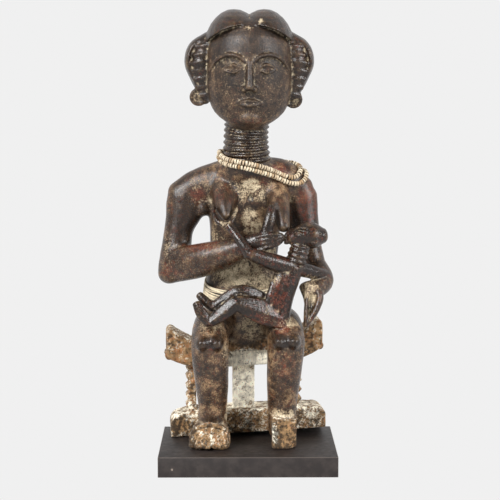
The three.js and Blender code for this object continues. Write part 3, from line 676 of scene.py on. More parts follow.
def side_roll(side):
    """A roll of hair beside the head: a smooth outer rim round a core cut across with level ridges."""
    core = limb("hair", [(HEAD_X + side * out, 13, z, wide, deep) for out, z, wide, deep in ROLL_CORE],
                sides=28, gap=3, tip=0.8)
    outs, heights, _, depths = zip(*ROLL_CORE)
    rim = limb("hair", [
        (HEAD_X + side * 54, 13, 423, 3.5, 10), (HEAD_X + side * 67, 14, 447, 4.5, 17),
        (HEAD_X + side * 74.5, 15, 468, 4.8, 22), (HEAD_X + side * 68, 16, 487, 6, 21),
        (HEAD_X + side * 50, 16, 498, 7, 18),
    ], sides=24, gap=4)
    ridges = []
    for i in range(RIDGE_COUNT):
        z = RIDGE_LOW + (RIDGE_HIGH - RIDGE_LOW) * i / (RIDGE_COUNT - 1)
        x = HEAD_X + side * np.interp(z, heights, outs)
        front = 13 - np.interp(z, heights, depths)
        ridges.append(limb("hair", [
            (x - side * 11, front + 7, z + 1.6, 4, 5), (x, front + 3.5, z, 4.4, 5),
            (x + side * 10, front + 7, z - 1.6, 4, 5),
        ], sides=16, gap=3))
    return [core, rim, *ridges]


def crown():
    """The hair on the crown: two smooth lobes, cut off in front along an arched hairline."""
    lobes = []
    for side in (-1, 1):
        lobe = lump("hair", (HEAD_X + side * 18.3, 9, 485), (36.5, 54, 46.8))
        bpy.ops.mesh.primitive_cylinder_add(
            vertices=64, radius=STEP, depth=96 * STEP, location=on_grid(HEAD_X, -56, 461),
            rotation=(math.pi / 2, 0, 0),
        )
        cutter = bpy.context.object
        cutter.scale = (66, 50, 1)
        lobes.append(marked(cut(lobe, cutter), "hair"))
    return lobes


def head():
    """The mother's head with its face, ears and hair."""
    pieces = [skull(), *crown(), *nose_and_mouth()]
    for side in (-1, 1):
        pieces += [brow_arch(side), *eye_parts(side), *ear(side), *side_roll(side)]
    return pieces


# The child, which lies across the lap with its head thrown back

def child_trunk():
    """The child's narrow chest, and the thin hip ridge beside it."""
    chest = limb("child", [
        (55, -30, 221, 13, 13), (47.8, -33, 203, 13.6, 13), (41, -35, 181, 13.5, 14), (37, -36, 151, 13, 16),
    ], sides=12, gap=4, tip=0.3)
    hip = limb("child", [(31, -43, 205, 4, 4), (27, -46, 188, 5, 5), (22, -46, 169, 5.5, 5)], sides=8, gap=3)
    groin = limb("child", [(42, -36, 213, 10, 9), (35, -39, 192, 11, 10), (30, -40, 170, 13, 11)], gap=4)
    return [chest, hip, groin]


def child_head():
    """The child's ringed neck and its head, in profile, with a calm closed eye."""
    ringed = limb("child", [
        (58, -31, 227, 12, 11), (61, -32, 238, 11.5, 11), (64, -32, 249, 10.5, 10),
    ], gap=0.7, tip=0.2, swell=ring_profile(4, 0.11))
    skull_parts = limb("child", [
        (52, -32, 256, 8.5, 9), (60, -32, 258, 12, 12), (70, -31, 260, 15, 15),
        (81, -30, 259, 15.5, 15.5), (91, -29, 259, 9.5, 10),
    ], gap=3, tip=0.6)
    nose = limb("child", [(54, -32, 266, 3, 3), (48, -32, 261, 3.4, 3.4), (46, -32, 258, 3, 3.4)],
                sides=12, gap=2)
    lips = [lump("child", (46.5, -32, 252 + rise), (3.4, 4, 1.9)) for rise in (1.7, -1.7)]
    brow = limb("child", [(55, -40, 266, 1.6, 3), (61, -43.5, 269.5, 1.8, 3), (69, -45, 269, 1.4, 3)],
                sides=12, gap=2)
    lids = [
        limb("child", [(57, -42, 262, 1, 2), (61.5, -44, 262 + rise, 1.3, 2), (66, -45, 262, 1, 2)],
             sides=10, gap=1.5)
        for rise in (2.2, -2.2)
    ]
    ear_rim = hoop("child", (79, -44.5, 254), radius=3.6, thickness=1.5, segments=20, sides=10)
    return [ringed, skull_parts, nose, *lips, brow, *lids, ear_rim]


def child_arms():
    """The child's arms: one reaches up with an open hand, the other runs back to the mother's arm."""
    upper = limb("child", [
        (54, -33, 221, 9.5, 9), (33, -41, 227, 11, 10), (17, -46, 233, 9.5, 9), (3, -50, 239, 7.5, 8),
    ], gap=3)
    fore = limb("child", [(2, -50, 238, 7, 7.5), (-9, -45, 254, 6, 7), (-23, -35, 272, 4.8, 6)], gap=3)
    fingers = limb("child", [
        (-22, -35, 271, 3.4, 4.5), (-36, -29, 276, 3, 4.5), (-41, -22, 286, 2.4, 4), (-41, -15, 292, 1.8, 3),
    ], sides=14, gap=2.5)
    thumb = limb("child", [(-22, -35, 271, 3.2, 4.5), (-17, -30, 281, 2.8, 4), (-13, -22, 291, 2, 3.5)],
                 sides=14, gap=2.5)
    far_arm = limb("child", [
        (54, -30, 221, 8.5, 9), (71, -20, 215.5, 9, 8), (87, -8, 210.5, 7.5, 8), (96, 3, 207, 7.5, 8),
    ], gap=3)
    return [upper, fore, fingers, thumb, far_arm]


LEG_SIDES = 6


def child_legs():
    """The child's flat-sided legs, which lie bent over the mother's knee."""
    near = (
        ((37, -38, 161, 16, 14), (17, -44, 169, 17, 13), (-1, -49, 176, 14, 11), (-14, -52, 181, 10.5, 10)),
        ((-14, -52, 181, 10.5, 9), (-29, -53, 169, 9.8, 9), (-46, -53, 156.5, 6.5, 8)),
        ((-46, -53, 156.5, 6, 7.5), (-55, -53, 167, 8, 6), (-62, -51, 180, 5.5, 4)),
    )
    far = (
        ((26, -30, 172, 13, 12), (9, -37, 186, 11, 9), (-6, -41, 193, 9, 8), (-14, -42, 192, 7.5, 8)),
        ((-13, -42, 193, 8, 7), (-29, -43, 183.5, 7.4, 7), (-44, -44, 173, 6, 7)),
        ((-43, -44, 174, 6, 7), (-52, -43, 182, 6.5, 6), (-59, -42, 189, 5, 4)),
    )
    return [limb("child", stations, sides=LEG_SIDES, gap=3, tip=0.5) for stations in near + far]


# The stool: a base plank, a column and two toothed supports, and a crescent seat. It leans up to the
# viewer's right, and its right end stands further back.
BASE_LENGTH, BASE_DEPTH, BASE_THICKNESS = 194, 48, 32
SEAT_LENGTH, SEAT_DEPTH, SEAT_THICKNESS = 195, 54, 23.5
SEAT_TOP, HORN_RISE, HORN_ROUND, UNDERSIDE_RISE = 109, 34, 9, 17
SUPPORT_SPACING, SUPPORT_THICKNESS, SUPPORT_DEPTH = 129, 8, 30
COLUMN_WIDTH, COLUMN_DEPTH = 26.5, 26
TOOTH_COUNT, TOOTH_REACH, TOOTH_SHARE = 5, 5, 0.46
HORN_CURVE, UNDERSIDE_CURVE = 2.6, 4
SEAT_EASING, PLANK_EASING, EASING_SEGMENTS = 3, 3.5, 3
KNOB_INSET, KNOB_DEPTHS, KNOB_RISE, KNOB_SIZES = 3, (11, 41), 1, (5.5, 6, 5.5)
BASE_LEAN, BASE_CLIMB, SEAT_LEAN, STOOL_YAW = [math.radians(a) for a in (1.7, 2.9, 3.2, 4.5)]
STOOL_X, STOOL_FRONT, SEAT_SHIFT, SEAT_OVERHANG = 1, 28, -4.5, 7
STOOL_ALONG = Vector((math.cos(STOOL_YAW), math.sin(STOOL_YAW), 0))
STOOL_ACROSS = Vector((-math.sin(STOOL_YAW), math.cos(STOOL_YAW), 0))


def stool_station(x, y, z, half_wide, half_deep, lean):
    """A station of the stool, leaned up from the base's left end and turned into its place."""
    rise = math.tan(lean) * (x + BASE_LENGTH / 2)
    spot = STOOL_ALONG * x + STOOL_ACROSS * y
    return (spot.x + STOOL_X, spot.y + STOOL_FRONT, z + rise, half_wide, half_deep)


def stool_bar(region, stations, lean, tangent, **options):
    """A bar of the stool with square sections that don't turn along its length."""
    placed = [stool_station(*station, lean) for station in stations]
    return limb(region, placed, depth_axis=STOOL_ACROSS, square=True, tangent=tangent, tip=0, **options)


def seat_top_at(x):
    """The height of the seat's top at a distance from its middle, rounded off at the horns' tips."""
    past = max(0, abs(x) - SEAT_LENGTH / 2 + HORN_ROUND)
    tip_fall = HORN_ROUND - math.sqrt(HORN_ROUND ** 2 - past ** 2)
    return SEAT_TOP + HORN_RISE * abs(x / (SEAT_LENGTH / 2)) ** HORN_CURVE - tip_fall


def seat_underside_at(x):
    """The height of the seat's underside at a distance from its middle."""
    return SEAT_TOP - SEAT_THICKNESS + UNDERSIDE_RISE * abs(x / (SEAT_LENGTH / 2)) ** UNDERSIDE_CURVE


def eased_edges(piece, region, reach):
    """Rounds the sharp edges of a piece."""
    modified(piece, "BEVEL", width=reach * STEP, segments=EASING_SEGMENTS)
    return marked(piece, region)


SEAT_SPANS = 48


def seat():
    """The crescent seat, with a round knob at the lower corner of each horn."""
    half = SEAT_LENGTH / 2
    stations = []
    for i in range(SEAT_SPANS + 1):
        x = -half + SEAT_LENGTH * i / SEAT_SPANS
        low, high = seat_underside_at(x), seat_top_at(x)
        stations.append((SEAT_SHIFT + x, SEAT_DEPTH / 2 - SEAT_OVERHANG, (low + high) / 2, (high - low) / 2,
                         SEAT_DEPTH / 2))
    bar = stool_bar("seat", stations, SEAT_LEAN, STOOL_ALONG, gap=SEAT_LENGTH)
    pieces = [eased_edges(bar, "seat", SEAT_EASING)]
    for side in (-1, 1):
        for depth in KNOB_DEPTHS:
            spot = stool_station(SEAT_SHIFT + side * (half - KNOB_INSET), depth - SEAT_OVERHANG,
                                 seat_underside_at(half) + KNOB_RISE, 0, 0, SEAT_LEAN)
            pieces.append(lump("seat", spot[:3], KNOB_SIZES))
    return pieces


def supports():
    """The column in the middle and the two side supports with their toothed outer edges."""
    middle = BASE_DEPTH / 2
    high = SEAT_TOP - SEAT_THICKNESS / 2
    pieces = [stool_bar("column", [
        (SEAT_SHIFT, middle, BASE_THICKNESS / 2, COLUMN_WIDTH / 2, COLUMN_DEPTH / 2),
        (SEAT_SHIFT, middle, high, COLUMN_WIDTH / 2, COLUMN_DEPTH / 2),
    ], SEAT_LEAN, Z_AXIS)]
    low = BASE_THICKNESS - SUPPORT_THICKNESS
    top = seat_underside_at(SUPPORT_SPACING / 2) + SUPPORT_THICKNESS
    pitch = (top - low) / (TOOTH_COUNT + 1)
    for side in (-1, 1):
        x = SEAT_SHIFT + side * SUPPORT_SPACING / 2
        pieces.append(stool_bar("seat", [
            (x, middle, low, SUPPORT_THICKNESS / 2, SUPPORT_DEPTH / 2),
            (x, middle, top, SUPPORT_THICKNESS / 2, SUPPORT_DEPTH / 2),
        ], SEAT_LEAN, Z_AXIS))
        outer = x + side * SUPPORT_THICKNESS / 2
        for i in range(TOOTH_COUNT):
            z = low + pitch * (i + 1)
            ends = [(outer, middle + reach * SUPPORT_DEPTH / 2) for reach in (-1, 1)]
            placed = [stool_station(end_x, end_y, z, TOOTH_REACH, pitch * TOOTH_SHARE, SEAT_LEAN)
                      for end_x, end_y in ends]
            pieces.append(limb("seat", placed, depth_axis=Z_AXIS, sides=4, tip=0, gap=SUPPORT_DEPTH))
    return pieces


# How far the plank's top has worn down at places along it, from its left end to its right end.
PLANK_FALLS = ((-97, 13), (-93, 7.5), (-87, 4), (-77, 2), (-64, 0), (62, 0), (88, 1.4), (95, 4.5), (98.6, 11))
# The plank is made this many times too thick, so that there is wood to slice away below.
UNCUT_THICKNESS = 1.5


def base_plank():
    """The base plank: its front edge climbs to the right while its back edge stays on the plinth."""
    half = BASE_LENGTH / 2
    stations = []
    for x, drop in PLANK_FALLS:
        thickness = BASE_THICKNESS * UNCUT_THICKNESS - drop
        middle = BASE_THICKNESS - drop - thickness / 2
        stations.append((x, BASE_DEPTH / 2, middle, thickness / 2, BASE_DEPTH / 2))
    plank = stool_bar("plank", stations, BASE_LEAN, STOOL_ALONG, gap=BASE_LENGTH)
    eased_edges(plank, "plank", PLANK_EASING)
    climb = math.tan(BASE_CLIMB)
    fall = climb * BASE_LENGTH / BASE_DEPTH
    upward = (Z_AXIS - STOOL_ALONG * climb + STOOL_ACROSS * fall).normalized()
    sliced(plank, on_grid(*stool_station(-half, 0, 0, 0, 0, 0)[:3]), upward)
    return [plank]


def sliced(piece, spot, upward):
    """Cuts away what lies below a plane and closes the cut."""
    joined(piece.name, [piece])
    bpy.ops.object.mode_set(mode="EDIT")
    bpy.ops.mesh.select_all(action="SELECT")
    bpy.ops.mesh.bisect(plane_co=spot, plane_no=upward, use_fill=True, clear_inner=True)
    bpy.ops.object.mode_set(mode="OBJECT")
    return piece


# Fusing and finishing the carving

def clouds(name, size, depth):
    """A procedural unevenness for a Displace modifier."""
    texture = bpy.data.textures.new(name, "CLOUDS")
    texture.noise_scale = size
    texture.noise_depth = depth
    return texture


def tree_of(mesh):
    """The faces of a mesh, for finding the nearest one or the first one along a ray."""
    return BVHTree.FromPolygons([v.co for v in mesh.vertices], [p.vertices for p in mesh.polygons])


def face_lookup(mesh):
    """The faces of a mesh for finding the nearest one, and the region that each belongs to."""
    regions = np.zeros(len(mesh.vertices), int)
    mesh.attributes["region"].data.foreach_get("value", regions)
    return tree_of(mesh), [regions[p.vertices[0]] for p in mesh.polygons]


def nearest_regions(mesh, lookup):
    """For each corner of a mesh, the region of the face that lies nearest to it."""
    tree, face_regions = lookup
    return [face_regions[tree.find_nearest(vertex.co)[2]] for vertex in mesh.vertices]


def region_looks(mesh, lookup):
    """For each corner of a mesh, the row of REGION_LOOKS for its region."""
    return np.array([REGION_LOOKS[REGIONS[region]] for region in nearest_regions(mesh, lookup)])


def corner_places(mesh):
    """The corners of a mesh as rows of three numbers."""
    places = np.zeros(len(mesh.vertices) * 3)
    mesh.vertices.foreach_get("co", places)
    return places.reshape(-1, 3)


def corner_normals(mesh):
    """The directions in which a mesh faces at its corners."""
    normals = np.zeros(len(mesh.vertices) * 3)
    mesh.vertices.foreach_get("normal", normals)
    return normals.reshape(-1, 3)


def spread(mesh, values, passes):
    """Values at the corners of a mesh, averaged with their neighbours a number of times."""
    pairs = np.zeros(len(mesh.edges) * 2, int)
    mesh.edges.foreach_get("vertices", pairs)
    first, second = pairs.reshape(-1, 2).T
    size = len(mesh.vertices)
    count = np.bincount(first, minlength=size) + np.bincount(second, minlength=size)
    count = np.maximum(count, 1)
    columns = np.array(values, float).reshape(size, -1)
    for _ in range(passes):
        for i in range(columns.shape[1]):
            column = columns[:, i]
            total = np.bincount(first, column[second], size) + np.bincount(second, column[first], size)
            columns[:, i] = 0.5 * column + 0.5 * total / count
    return columns.reshape(np.shape(values))


def eased(values, low, high):
    """Values led smoothly from 0 at low to 1 at high."""
    share = np.clip((values - low) / (high - low), 0, 1)
    return share * share * (3 - 2 * share)


def write_mark(mesh, name, values):
    """Writes one number on each corner of a mesh, for the materials to read."""
    attribute = mesh.attributes.get(name) or mesh.attributes.new(name, "FLOAT", "POINT")
    attribute.data.foreach_set("value", np.asarray(values, np.float32))


# The share of the sky that each corner loses to nearby parts. It sets how dark the painted shade in sheltered
# places is.
SHELTER_RAYS = 14
SHELTER_REACH = 0.07
# How far the rays spread, from 0 for straight out to 1 for along the surface, and how many mm off the
# surface they start.
SHELTER_SPREAD, SHELTER_START = 0.9, 0.4
GOLDEN_TURN = math.pi * (3 - math.sqrt(5))
STEEP = 0.9


def shelter(mesh):
    """How much of the sky each corner loses to what stands close in front of it, from 0 to 1."""
    places, normals = corner_places(mesh), corner_normals(mesh)
    tree = tree_of(mesh)
    steps = np.arange(SHELTER_RAYS)
    turns = steps * GOLDEN_TURN
    heights = 1 - (steps + 0.5) / SHELTER_RAYS * SHELTER_SPREAD
    rounds = np.sqrt(1 - heights ** 2)
    rays = np.stack([rounds * np.cos(turns), rounds * np.sin(turns), heights], axis=1)
    helper = np.where(np.abs(normals[:, 2:]) < STEEP, np.array(Z_AXIS), np.array(X_AXIS))
    across = np.cross(helper, normals)
    across /= np.linalg.norm(across, axis=1, keepdims=True)
    other = np.cross(normals, across)
    starts = places + normals * SHELTER_START * MM
    hits = np.zeros(len(places))
    for ray in rays:
        ways = across * ray[0] + other * ray[1] + normals * ray[2]
        for i, (start, way) in enumerate(zip(starts.tolist(), ways.tolist())):
            distance = tree.ray_cast(start, way, SHELTER_REACH)[3]
            if distance is not None:
                hits[i] += 1 - distance / SHELTER_REACH
    return hits / SHELTER_RAYS


# Places on the grid where the finish changes: (middle, half sizes, strength)
CLAY_SPOTS = (
    ((4, 2, 317), (18, 24, 15), 0.95), ((-7, 2, 308), (12, 20, 18), 0.45), ((14, 2, 306), (13, 20, 20), 0.5),
    ((2, 6, 280), (19, 24, 15), 0.6), ((6, 6, 268), (20, 24, 18), 0.66), ((-12, 6, 209), (56, 34, 30), 0.8),
    ((16, 8, 196), (44, 30, 30), 0.8), ((-40, 12, 246), (22, 30, 46), 0.42),
    ((31, 8, 240), (16, 26, 28), 0.85), ((-22, 6, 304), (34, 24, 46), 0.28),
    ((36, -2, 322), (34, 30, 26), 0.22), ((-27, -32, 274), (13, 16, 10), 0.7),
    ((-16, -26, 287), (8, 16, 13), 0.5), ((74, -20, 190), (22, 22, 32), 0.6),
    ((57, -30, 250), (12, 16, 14), 0.5), ((-44, -40, 150), (30, 26, 12), 0.42),
    ((46, -36, 154), (30, 26, 11), 0.6), ((-29, -40, 120), (12, 22, 30), 0.4),
    ((22, -46, 168), (12, 14, 16), 0.6), ((34, -44, 207), (10, 12, 10), 0.5),
    ((3, 12, 142), (32, 30, 30), 0.55), ((-43, -16, 44), (26, 30, 13), 0.6),
    ((-22, -16, 42), (14, 24, 22), 1.0), ((43, -20, 42), (26, 30, 11), 0.9),
    ((32, -44, 18), (8, 14, 22), 0.7), ((-43, -54, 20), (5, 14, 22), 0.7), ((3, 24, 98), (52, 34, 27), 1.5),
    ((-80, 24, 68), (14, 34, 46), 0.6), ((60, 24, 60), (16, 34, 40), 0.6), ((-61, 6, 426), (9, 12, 10), 0.45),
    ((58, 6, 420), (9, 12, 10), 0.4), ((15.5, -34, 516), (4.5, 12, 5), 1.0),
    ((1, -32, 508), (10, 14, 5), 0.5), ((68, 20, 240), (16, 24, 26), 0.4),
    ((-98, 16, 240), (12, 24, 30), 0.36), ((-62, 6, 318), (34, 30, 26), 0.27),
    ((84, 30, 40), (34, 50, 40), 0.6), ((-66, 26, 40), (30, 40, 12), 0.6), ((10, 26, 38), (60, 40, 12), 0.6),
    ((6, 0, 18), (56, 26, 30), 0.55),
)
RED_SPOTS = (
    ((-52, -8, 246), (46, 32, 16), 0.7), ((-60, 12, 304), (16, 20, 16), 0.9),
    ((76, 16, 296), (26, 30, 56), 0.6), ((-24, -4, 306), (30, 26, 26), 0.5),
    ((-44, -60, 124), (5, 10, 5), 1.0), ((40, -50, 148), (16, 16, 10), 0.8),
    ((38, -44, 180), (26, 26, 52), 0.5), ((10, -50, 162), (42, 22, 16), 0.42),
    ((46, -46, 106), (22, 18, 50), 0.5), ((-90, 10, 214), (32, 30, 22), 0.5),
    ((14, 6, 326), (34, 28, 18), 0.5), ((28, -42, 230), (34, 22, 12), 0.6),
    ((40, 10, 336), (22, 28, 14), 0.6), ((-86, 20, 262), (14, 26, 16), 0.5),
    ((2, -20, 398), (36, 34, 10), 0.5),
)
# Darker wood in places, and painted shade in the chest's hollows, between the left arm and the chest, and
# between the thighs.
DARK_AND_SHADE_SPOTS = (
    ((-46, -58, 130), (28, 18, 15), 1.0), ((46, -58, 132), (28, 18, 15), 1.0),
    ((2, -32, 490), (56, 40, 34), 0.55), ((-80, 14, 270), (24, 26, 34), 0.8),
    ((4, 4, 302), (5, 14, 8), 1.0), ((2, 6, 291), (16, 20, 8), 0.8),
    ((3, 14, 150), (16, 30, 18), 0.8), ((3, 24, 123), (44, 20, 9), 0.9),
    ((62, 10, 278), (16, 18, 26), 0.9), ((-34, -18, 290), (14, 20, 16), 0.7),
    ((-24, -50, 172), (48, 20, 26), 0.7), ((40, -16, 284), (16, 20, 24), 0.7),
    ((-20, -14, 232), (30, 20, 14), 0.5), ((76, -26, 172), (8, 12, 10), 0.9),
    ((46, -44, 20), (14, 12, 18), 0.6), ((-86, 24, 14), (22, 26, 12), 0.7),
    ((-30, -6, 302), (24, 26, 28), 0.7), ((74, 14, 274), (26, 32, 46), 0.9),
    ((20, 0, 336), (40, 24, 10), 0.4),
)
SPOT_EASING = 0.7


def spotted(places, spots):
    """How strongly each place lies in any of the spots."""
    strongest = np.zeros(len(places))
    for middle, sizes, strength in spots:
        offset = (places - np.array(on_grid(*middle))) / (np.array(sizes) * STEP)
        inside = 1 - np.linalg.norm(offset, axis=1)
        strongest = np.maximum(strongest, strength * eased(inside, 0, SPOT_EASING))
    return strongest


# Passes of averaging with the neighbours, and where each mark starts and is full: bends in mm, and
# shelter as a share of the sky.
LOOK_PASSES, CRUST_PASSES, CLOSE_PASSES, WIDE_PASSES, SHELTER_PASSES = 8, 6, 6, 50, 2
GROOVE_RANGE, HOLLOW_RANGE = (0.1, 0.55), (0.3, 2.4)
PROUD_RANGE, SHELTER_RANGE = (0.25, 0.9), (0.08, 0.55)
# How much crust settled on level wood, rubbed-in clay, and the dark spots with their painted shade change the
# other marks.
SETTLED_TONE, SETTLED_CLAY, RUBBED_TONE = 0.3, 0.2, 0.25
RED_SHARE, DARKENED, DARKENED_RED = 0.8, 0.8, 0.4


def mark_finish(mesh, lookup):
    """Writes where wood is light, red, hollow or proud, where clay and crust lie, and how much painted shade
    the sheltered places get.
    """
    places, normals = corner_places(mesh), corner_normals(mesh)
    tone, clay, crust, red, polish = spread(mesh, region_looks(mesh, lookup), LOOK_PASSES).T
    close = spread(mesh, places, CLOSE_PASSES)
    wide = spread(mesh, close, WIDE_PASSES)
    fine_bend, broad_bend = [np.sum((mean - places) * normals, axis=1) / MM for mean in (close, wide)]
    sheltered = spread(mesh, shelter(mesh), SHELTER_PASSES)
    settled = crust * np.clip(normals[:, 2], 0, 1)
    rubbed, darkness_and_shade = spotted(places, CLAY_SPOTS), spotted(places, DARK_AND_SHADE_SPOTS)
    reddened = np.maximum(red * RED_SHARE, spotted(places, RED_SPOTS))
    # The dark spots darken the wood and its red, and stand for painted shade in the hollows.
    marks = {
        "tone": (tone + SETTLED_TONE * settled + RUBBED_TONE * rubbed) * (1 - DARKENED * darkness_and_shade),
        "clay": np.maximum((clay + SETTLED_CLAY * settled) * (1 - darkness_and_shade), rubbed),
        "crust": crust,
        "red": reddened * (1 - DARKENED_RED * darkness_and_shade),
        "polish": polish,
        "groove": eased(fine_bend, *GROOVE_RANGE),
        "hollow": eased(broad_bend, *HOLLOW_RANGE),
        "proud": eased(-fine_bend, *PROUD_RANGE) * (1 - DARKENED * darkness_and_shade),
        "shelter": eased(sheltered, *SHELTER_RANGE),
    }
    for name, values in marks.items():
        write_mark(mesh, name, values)


def weight_group(piece, name, weights):
    """A vertex group with a weight for each corner, for a modifier to read."""
    group = piece.vertex_groups.new(name=name)
    for i, weight in enumerate(weights):
        if weight > 0:
            group.add((i,), weight, "REPLACE")


# The size of the marks of the adze and of the lumps of crust, and how many times finer ones are added.
ADZE_CLOUDS, CRUST_CLOUDS = (14 * MM, 1), (3.6 * MM, 3)
CRUST_COLUMN = 2


def roughened(piece, lookup, adze_depth, crust_depth):
    """Makes the surface as uneven as the adze left it, and lays crust on the stool and the feet."""
    mesh = piece.data
    crust = region_looks(mesh, lookup)[:, CRUST_COLUMN]
    weight_group(piece, "crust", spread(mesh, crust, CRUST_PASSES).tolist())
    modified(piece, "DISPLACE", texture=clouds("adze", *ADZE_CLOUDS), strength=adze_depth)
    modified(piece, "DISPLACE", texture=clouds("crust lumps", *CRUST_CLOUDS), strength=crust_depth,
             vertex_group="crust")
    piece.vertex_groups.clear()


def thinned(piece, most):
    """Takes triangles away where the surface is plain, down to the most allowed."""
    modified(piece, "TRIANGULATE")
    count = len(piece.data.polygons)
    if count > most:
        modified(piece, "DECIMATE", ratio=most / count)


def whole_figure():
    """Mother, child and stool, fused in one skin as they were carved from one block."""
    values = settings("carving")
    masses = trunk() + upper_arms() + knee_knobs()
    for place in LEG_PLACES:
        masses += thigh_and_shin(*place)
    sources = joined("mass sources", masses)
    source_lookup = face_lookup(sources.data)
    body = hollowed(fused("body mass", [sources], values.mass_voxel, values.mass_passes))
    carry_regions(body, source_lookup)
    pieces = [
        body, *neck(), *head(), *lap_ledge(), *right_hand(), *left_hand(), *whole_foot(), *broken_foot(),
        *child_trunk(), *child_head(), *child_arms(), *child_legs(), *seat(), *supports(), *base_plank(),
    ]
    whole = joined("carved_figure", pieces)
    lookup = face_lookup(whole.data)
    whole = fused("carved_figure", [whole], values.fine_voxel, values.fine_passes)
    roughened(whole, lookup, values.adze_depth, values.crust_depth)
    sliced(whole, Vector((0, 0, FLOOR)), Z_AXIS)
    kept_in_box(whole)
    thinned(whole, values.triangles)
    mark_finish(whole.data, lookup)
    bpy.ops.object.shade_smooth()
    return whole


def carry_regions(piece, lookup):
    """Writes on a fused piece the regions of the faces that it came from."""
    regions = nearest_regions(piece.data, lookup)
    marked(piece, "body").data.attributes["region"].data.foreach_set("value", regions)


def kept_in_box(piece):
    """Moves corners that stand outside the frame's box of the figure back to its sides."""
    places = corner_places(piece.data)
    places = np.clip(places, np.array(FIGURE_LOW), np.array(FIGURE_HIGH))
    piece.data.vertices.foreach_set("co", places.ravel())
    piece.data.update()


# Materials

def wired(tree, kind, inputs, **values):
    """Adds a node, sets its values, and joins or sets its inputs, which are named or counted."""
    node = tree.nodes.new("ShaderNode" + kind)
    for name, value in values.items():
        setattr(node, name, value)
    for name, value in inputs.items():
        if isinstance(value, bpy.types.NodeSocket):
            tree.links.new(value, node.inputs[name])
        else:
            node.inputs[name].default_value = value
    return node


def maths(tree, operation, first, second=0.0, clamp=False):
    """The result of a sum of two numbers or masks."""
    return wired(tree, "Math", {0: first, 1: second}, operation=operation, use_clamp=clamp).outputs[0]


def times(tree, first, second, clamp=False):
    """The product of two numbers or masks."""
    return maths(tree, "MULTIPLY", first, second, clamp)


def greater(tree, first, second, clamp=False):
    """The greater of two masks."""
    return maths(tree, "MAXIMUM", first, second, clamp)


def over(tree, under, colour, mask):
    """A colour laid over another where a mask says."""
    if not isinstance(colour, bpy.types.NodeSocket):
        colour = (*colour, 1)
    if not isinstance(under, bpy.types.NodeSocket):
        under = (*under, 1)
    return wired(tree, "Mix", {0: mask, 6: under, 7: colour}, data_type="RGBA").outputs[2]


def ranged(tree, mask, low, high):
    """A number that runs from low where a mask is 0 to high where it is 1."""
    return wired(tree, "MapRange", {0: mask, 3: low, 4: high}).outputs[0]


def shade_by(tree, colour, mask, low, high):
    """A colour made darker or lighter, from low times where a mask is 0 to high times where it is 1."""
    factor = ranged(tree, mask, low, high)
    return wired(tree, "VectorMath", {0: colour, "Scale": factor}, operation="SCALE").outputs[0]


def mark(tree, name):
    """A number written on the mesh."""
    return wired(tree, "Attribute", {}, attribute_name=name).outputs["Fac"]


def new_group(name, inputs, outputs):
    """An empty node group with named number and vector sockets."""
    group = bpy.data.node_groups.new(name, "ShaderNodeTree")
    for label, kind, default in inputs:
        socket = group.interface.new_socket(label, in_out="INPUT", socket_type="NodeSocket" + kind)
        if default is not None:
            socket.default_value = default
    for label, kind in outputs:
        group.interface.new_socket(label, in_out="OUTPUT", socket_type="NodeSocket" + kind)
    return group, group.nodes.new("NodeGroupInput").outputs, group.nodes.new("NodeGroupOutput").inputs


def speckle_group():
    """Ragged spots that cover a share of a surface."""
    group, given, result = new_group(
        "Speckle",
        [("Vector", "Vector", None), ("Scale", "Float", 100.0), ("Amount", "Float", 0.5),
         ("Softness", "Float", 0.08)],
        [("Mask", "Float")],
    )
    noise = wired(group, "TexNoise", {
        "Vector": given["Vector"], "Scale": given["Scale"], "Detail": 5.0, "Roughness": 0.62,
    }).outputs[0]
    middle = wired(group, "MapRange", {0: given["Amount"], 3: 0.8, 4: 0.2}, clamp=False).outputs[0]
    half = maths(group, "MULTIPLY", given["Softness"], 0.5)
    low, high = [maths(group, operation, middle, half) for operation in ("SUBTRACT", "ADD")]
    mask = wired(group, "MapRange", {0: noise, 1: low, 2: high}, interpolation_type="SMOOTHSTEP")
    group.links.new(mask.outputs[0], result["Mask"])
    return group


def grain_group():
    """Fine fibres that run up and down a surface."""
    group, given, result = new_group(
        "Grain",
        [("Vector", "Vector", None), ("Scale", "Float", 500.0), ("Stretch", "Float", 0.06)],
        [("Value", "Float")],
    )
    stretch = wired(group, "CombineXYZ", {0: 1.0, 1: 1.0, 2: given["Stretch"]}).outputs[0]
    drawn = wired(group, "VectorMath", {0: given["Vector"], 1: stretch}, operation="MULTIPLY").outputs[0]
    noise = wired(group, "TexNoise", {
        "Vector": drawn, "Scale": given["Scale"], "Detail": 4.0, "Roughness": 0.55, "Distortion": 0.4,
    }).outputs[0]
    value = wired(group, "MapRange", {0: noise, 1: 0.3, 2: 0.7}).outputs[0]
    group.links.new(value, result["Value"])
    return group


GROUP_MAKERS = {"Speckle": speckle_group, "Grain": grain_group}


def effect(tree, name, **inputs):
    """The output of a shared node group, which is made when it is first needed."""
    group = bpy.data.node_groups.get(name) or GROUP_MAKERS[name]()
    return wired(tree, "Group", inputs, node_tree=group).outputs[0]


def speckle(tree, place, scale, amount, softness):
    """A mask of ragged spots. A greater scale makes them smaller."""
    return effect(tree, "Speckle", Vector=place, Scale=scale, Amount=amount, Softness=softness)


def new_material(name):
    """An empty material, its shader and the object coordinates."""
    material = bpy.data.materials.new(name)
    material.use_nodes = True
    tree = material.node_tree
    tree.nodes.clear()
    shader = tree.nodes.new("ShaderNodeBsdfPrincipled")
    output = tree.nodes.new("ShaderNodeOutputMaterial")
    tree.links.new(shader.outputs[0], output.inputs[0])
    place = wired(tree, "TexCoord", {}).outputs["Object"]
    return material, tree, shader, place


def surfaced(tree, shader, colour, roughness, height, strength, distance):
    """Gives a shader its colour and roughness, and a bump from a height."""
    bump = wired(tree, "Bump", {"Height": height, "Strength": strength, "Distance": distance})
    tree.links.new(colour, shader.inputs["Base Color"])
    tree.links.new(roughness, shader.inputs["Roughness"])
    tree.links.new(bump.outputs[0], shader.inputs["Normal"])


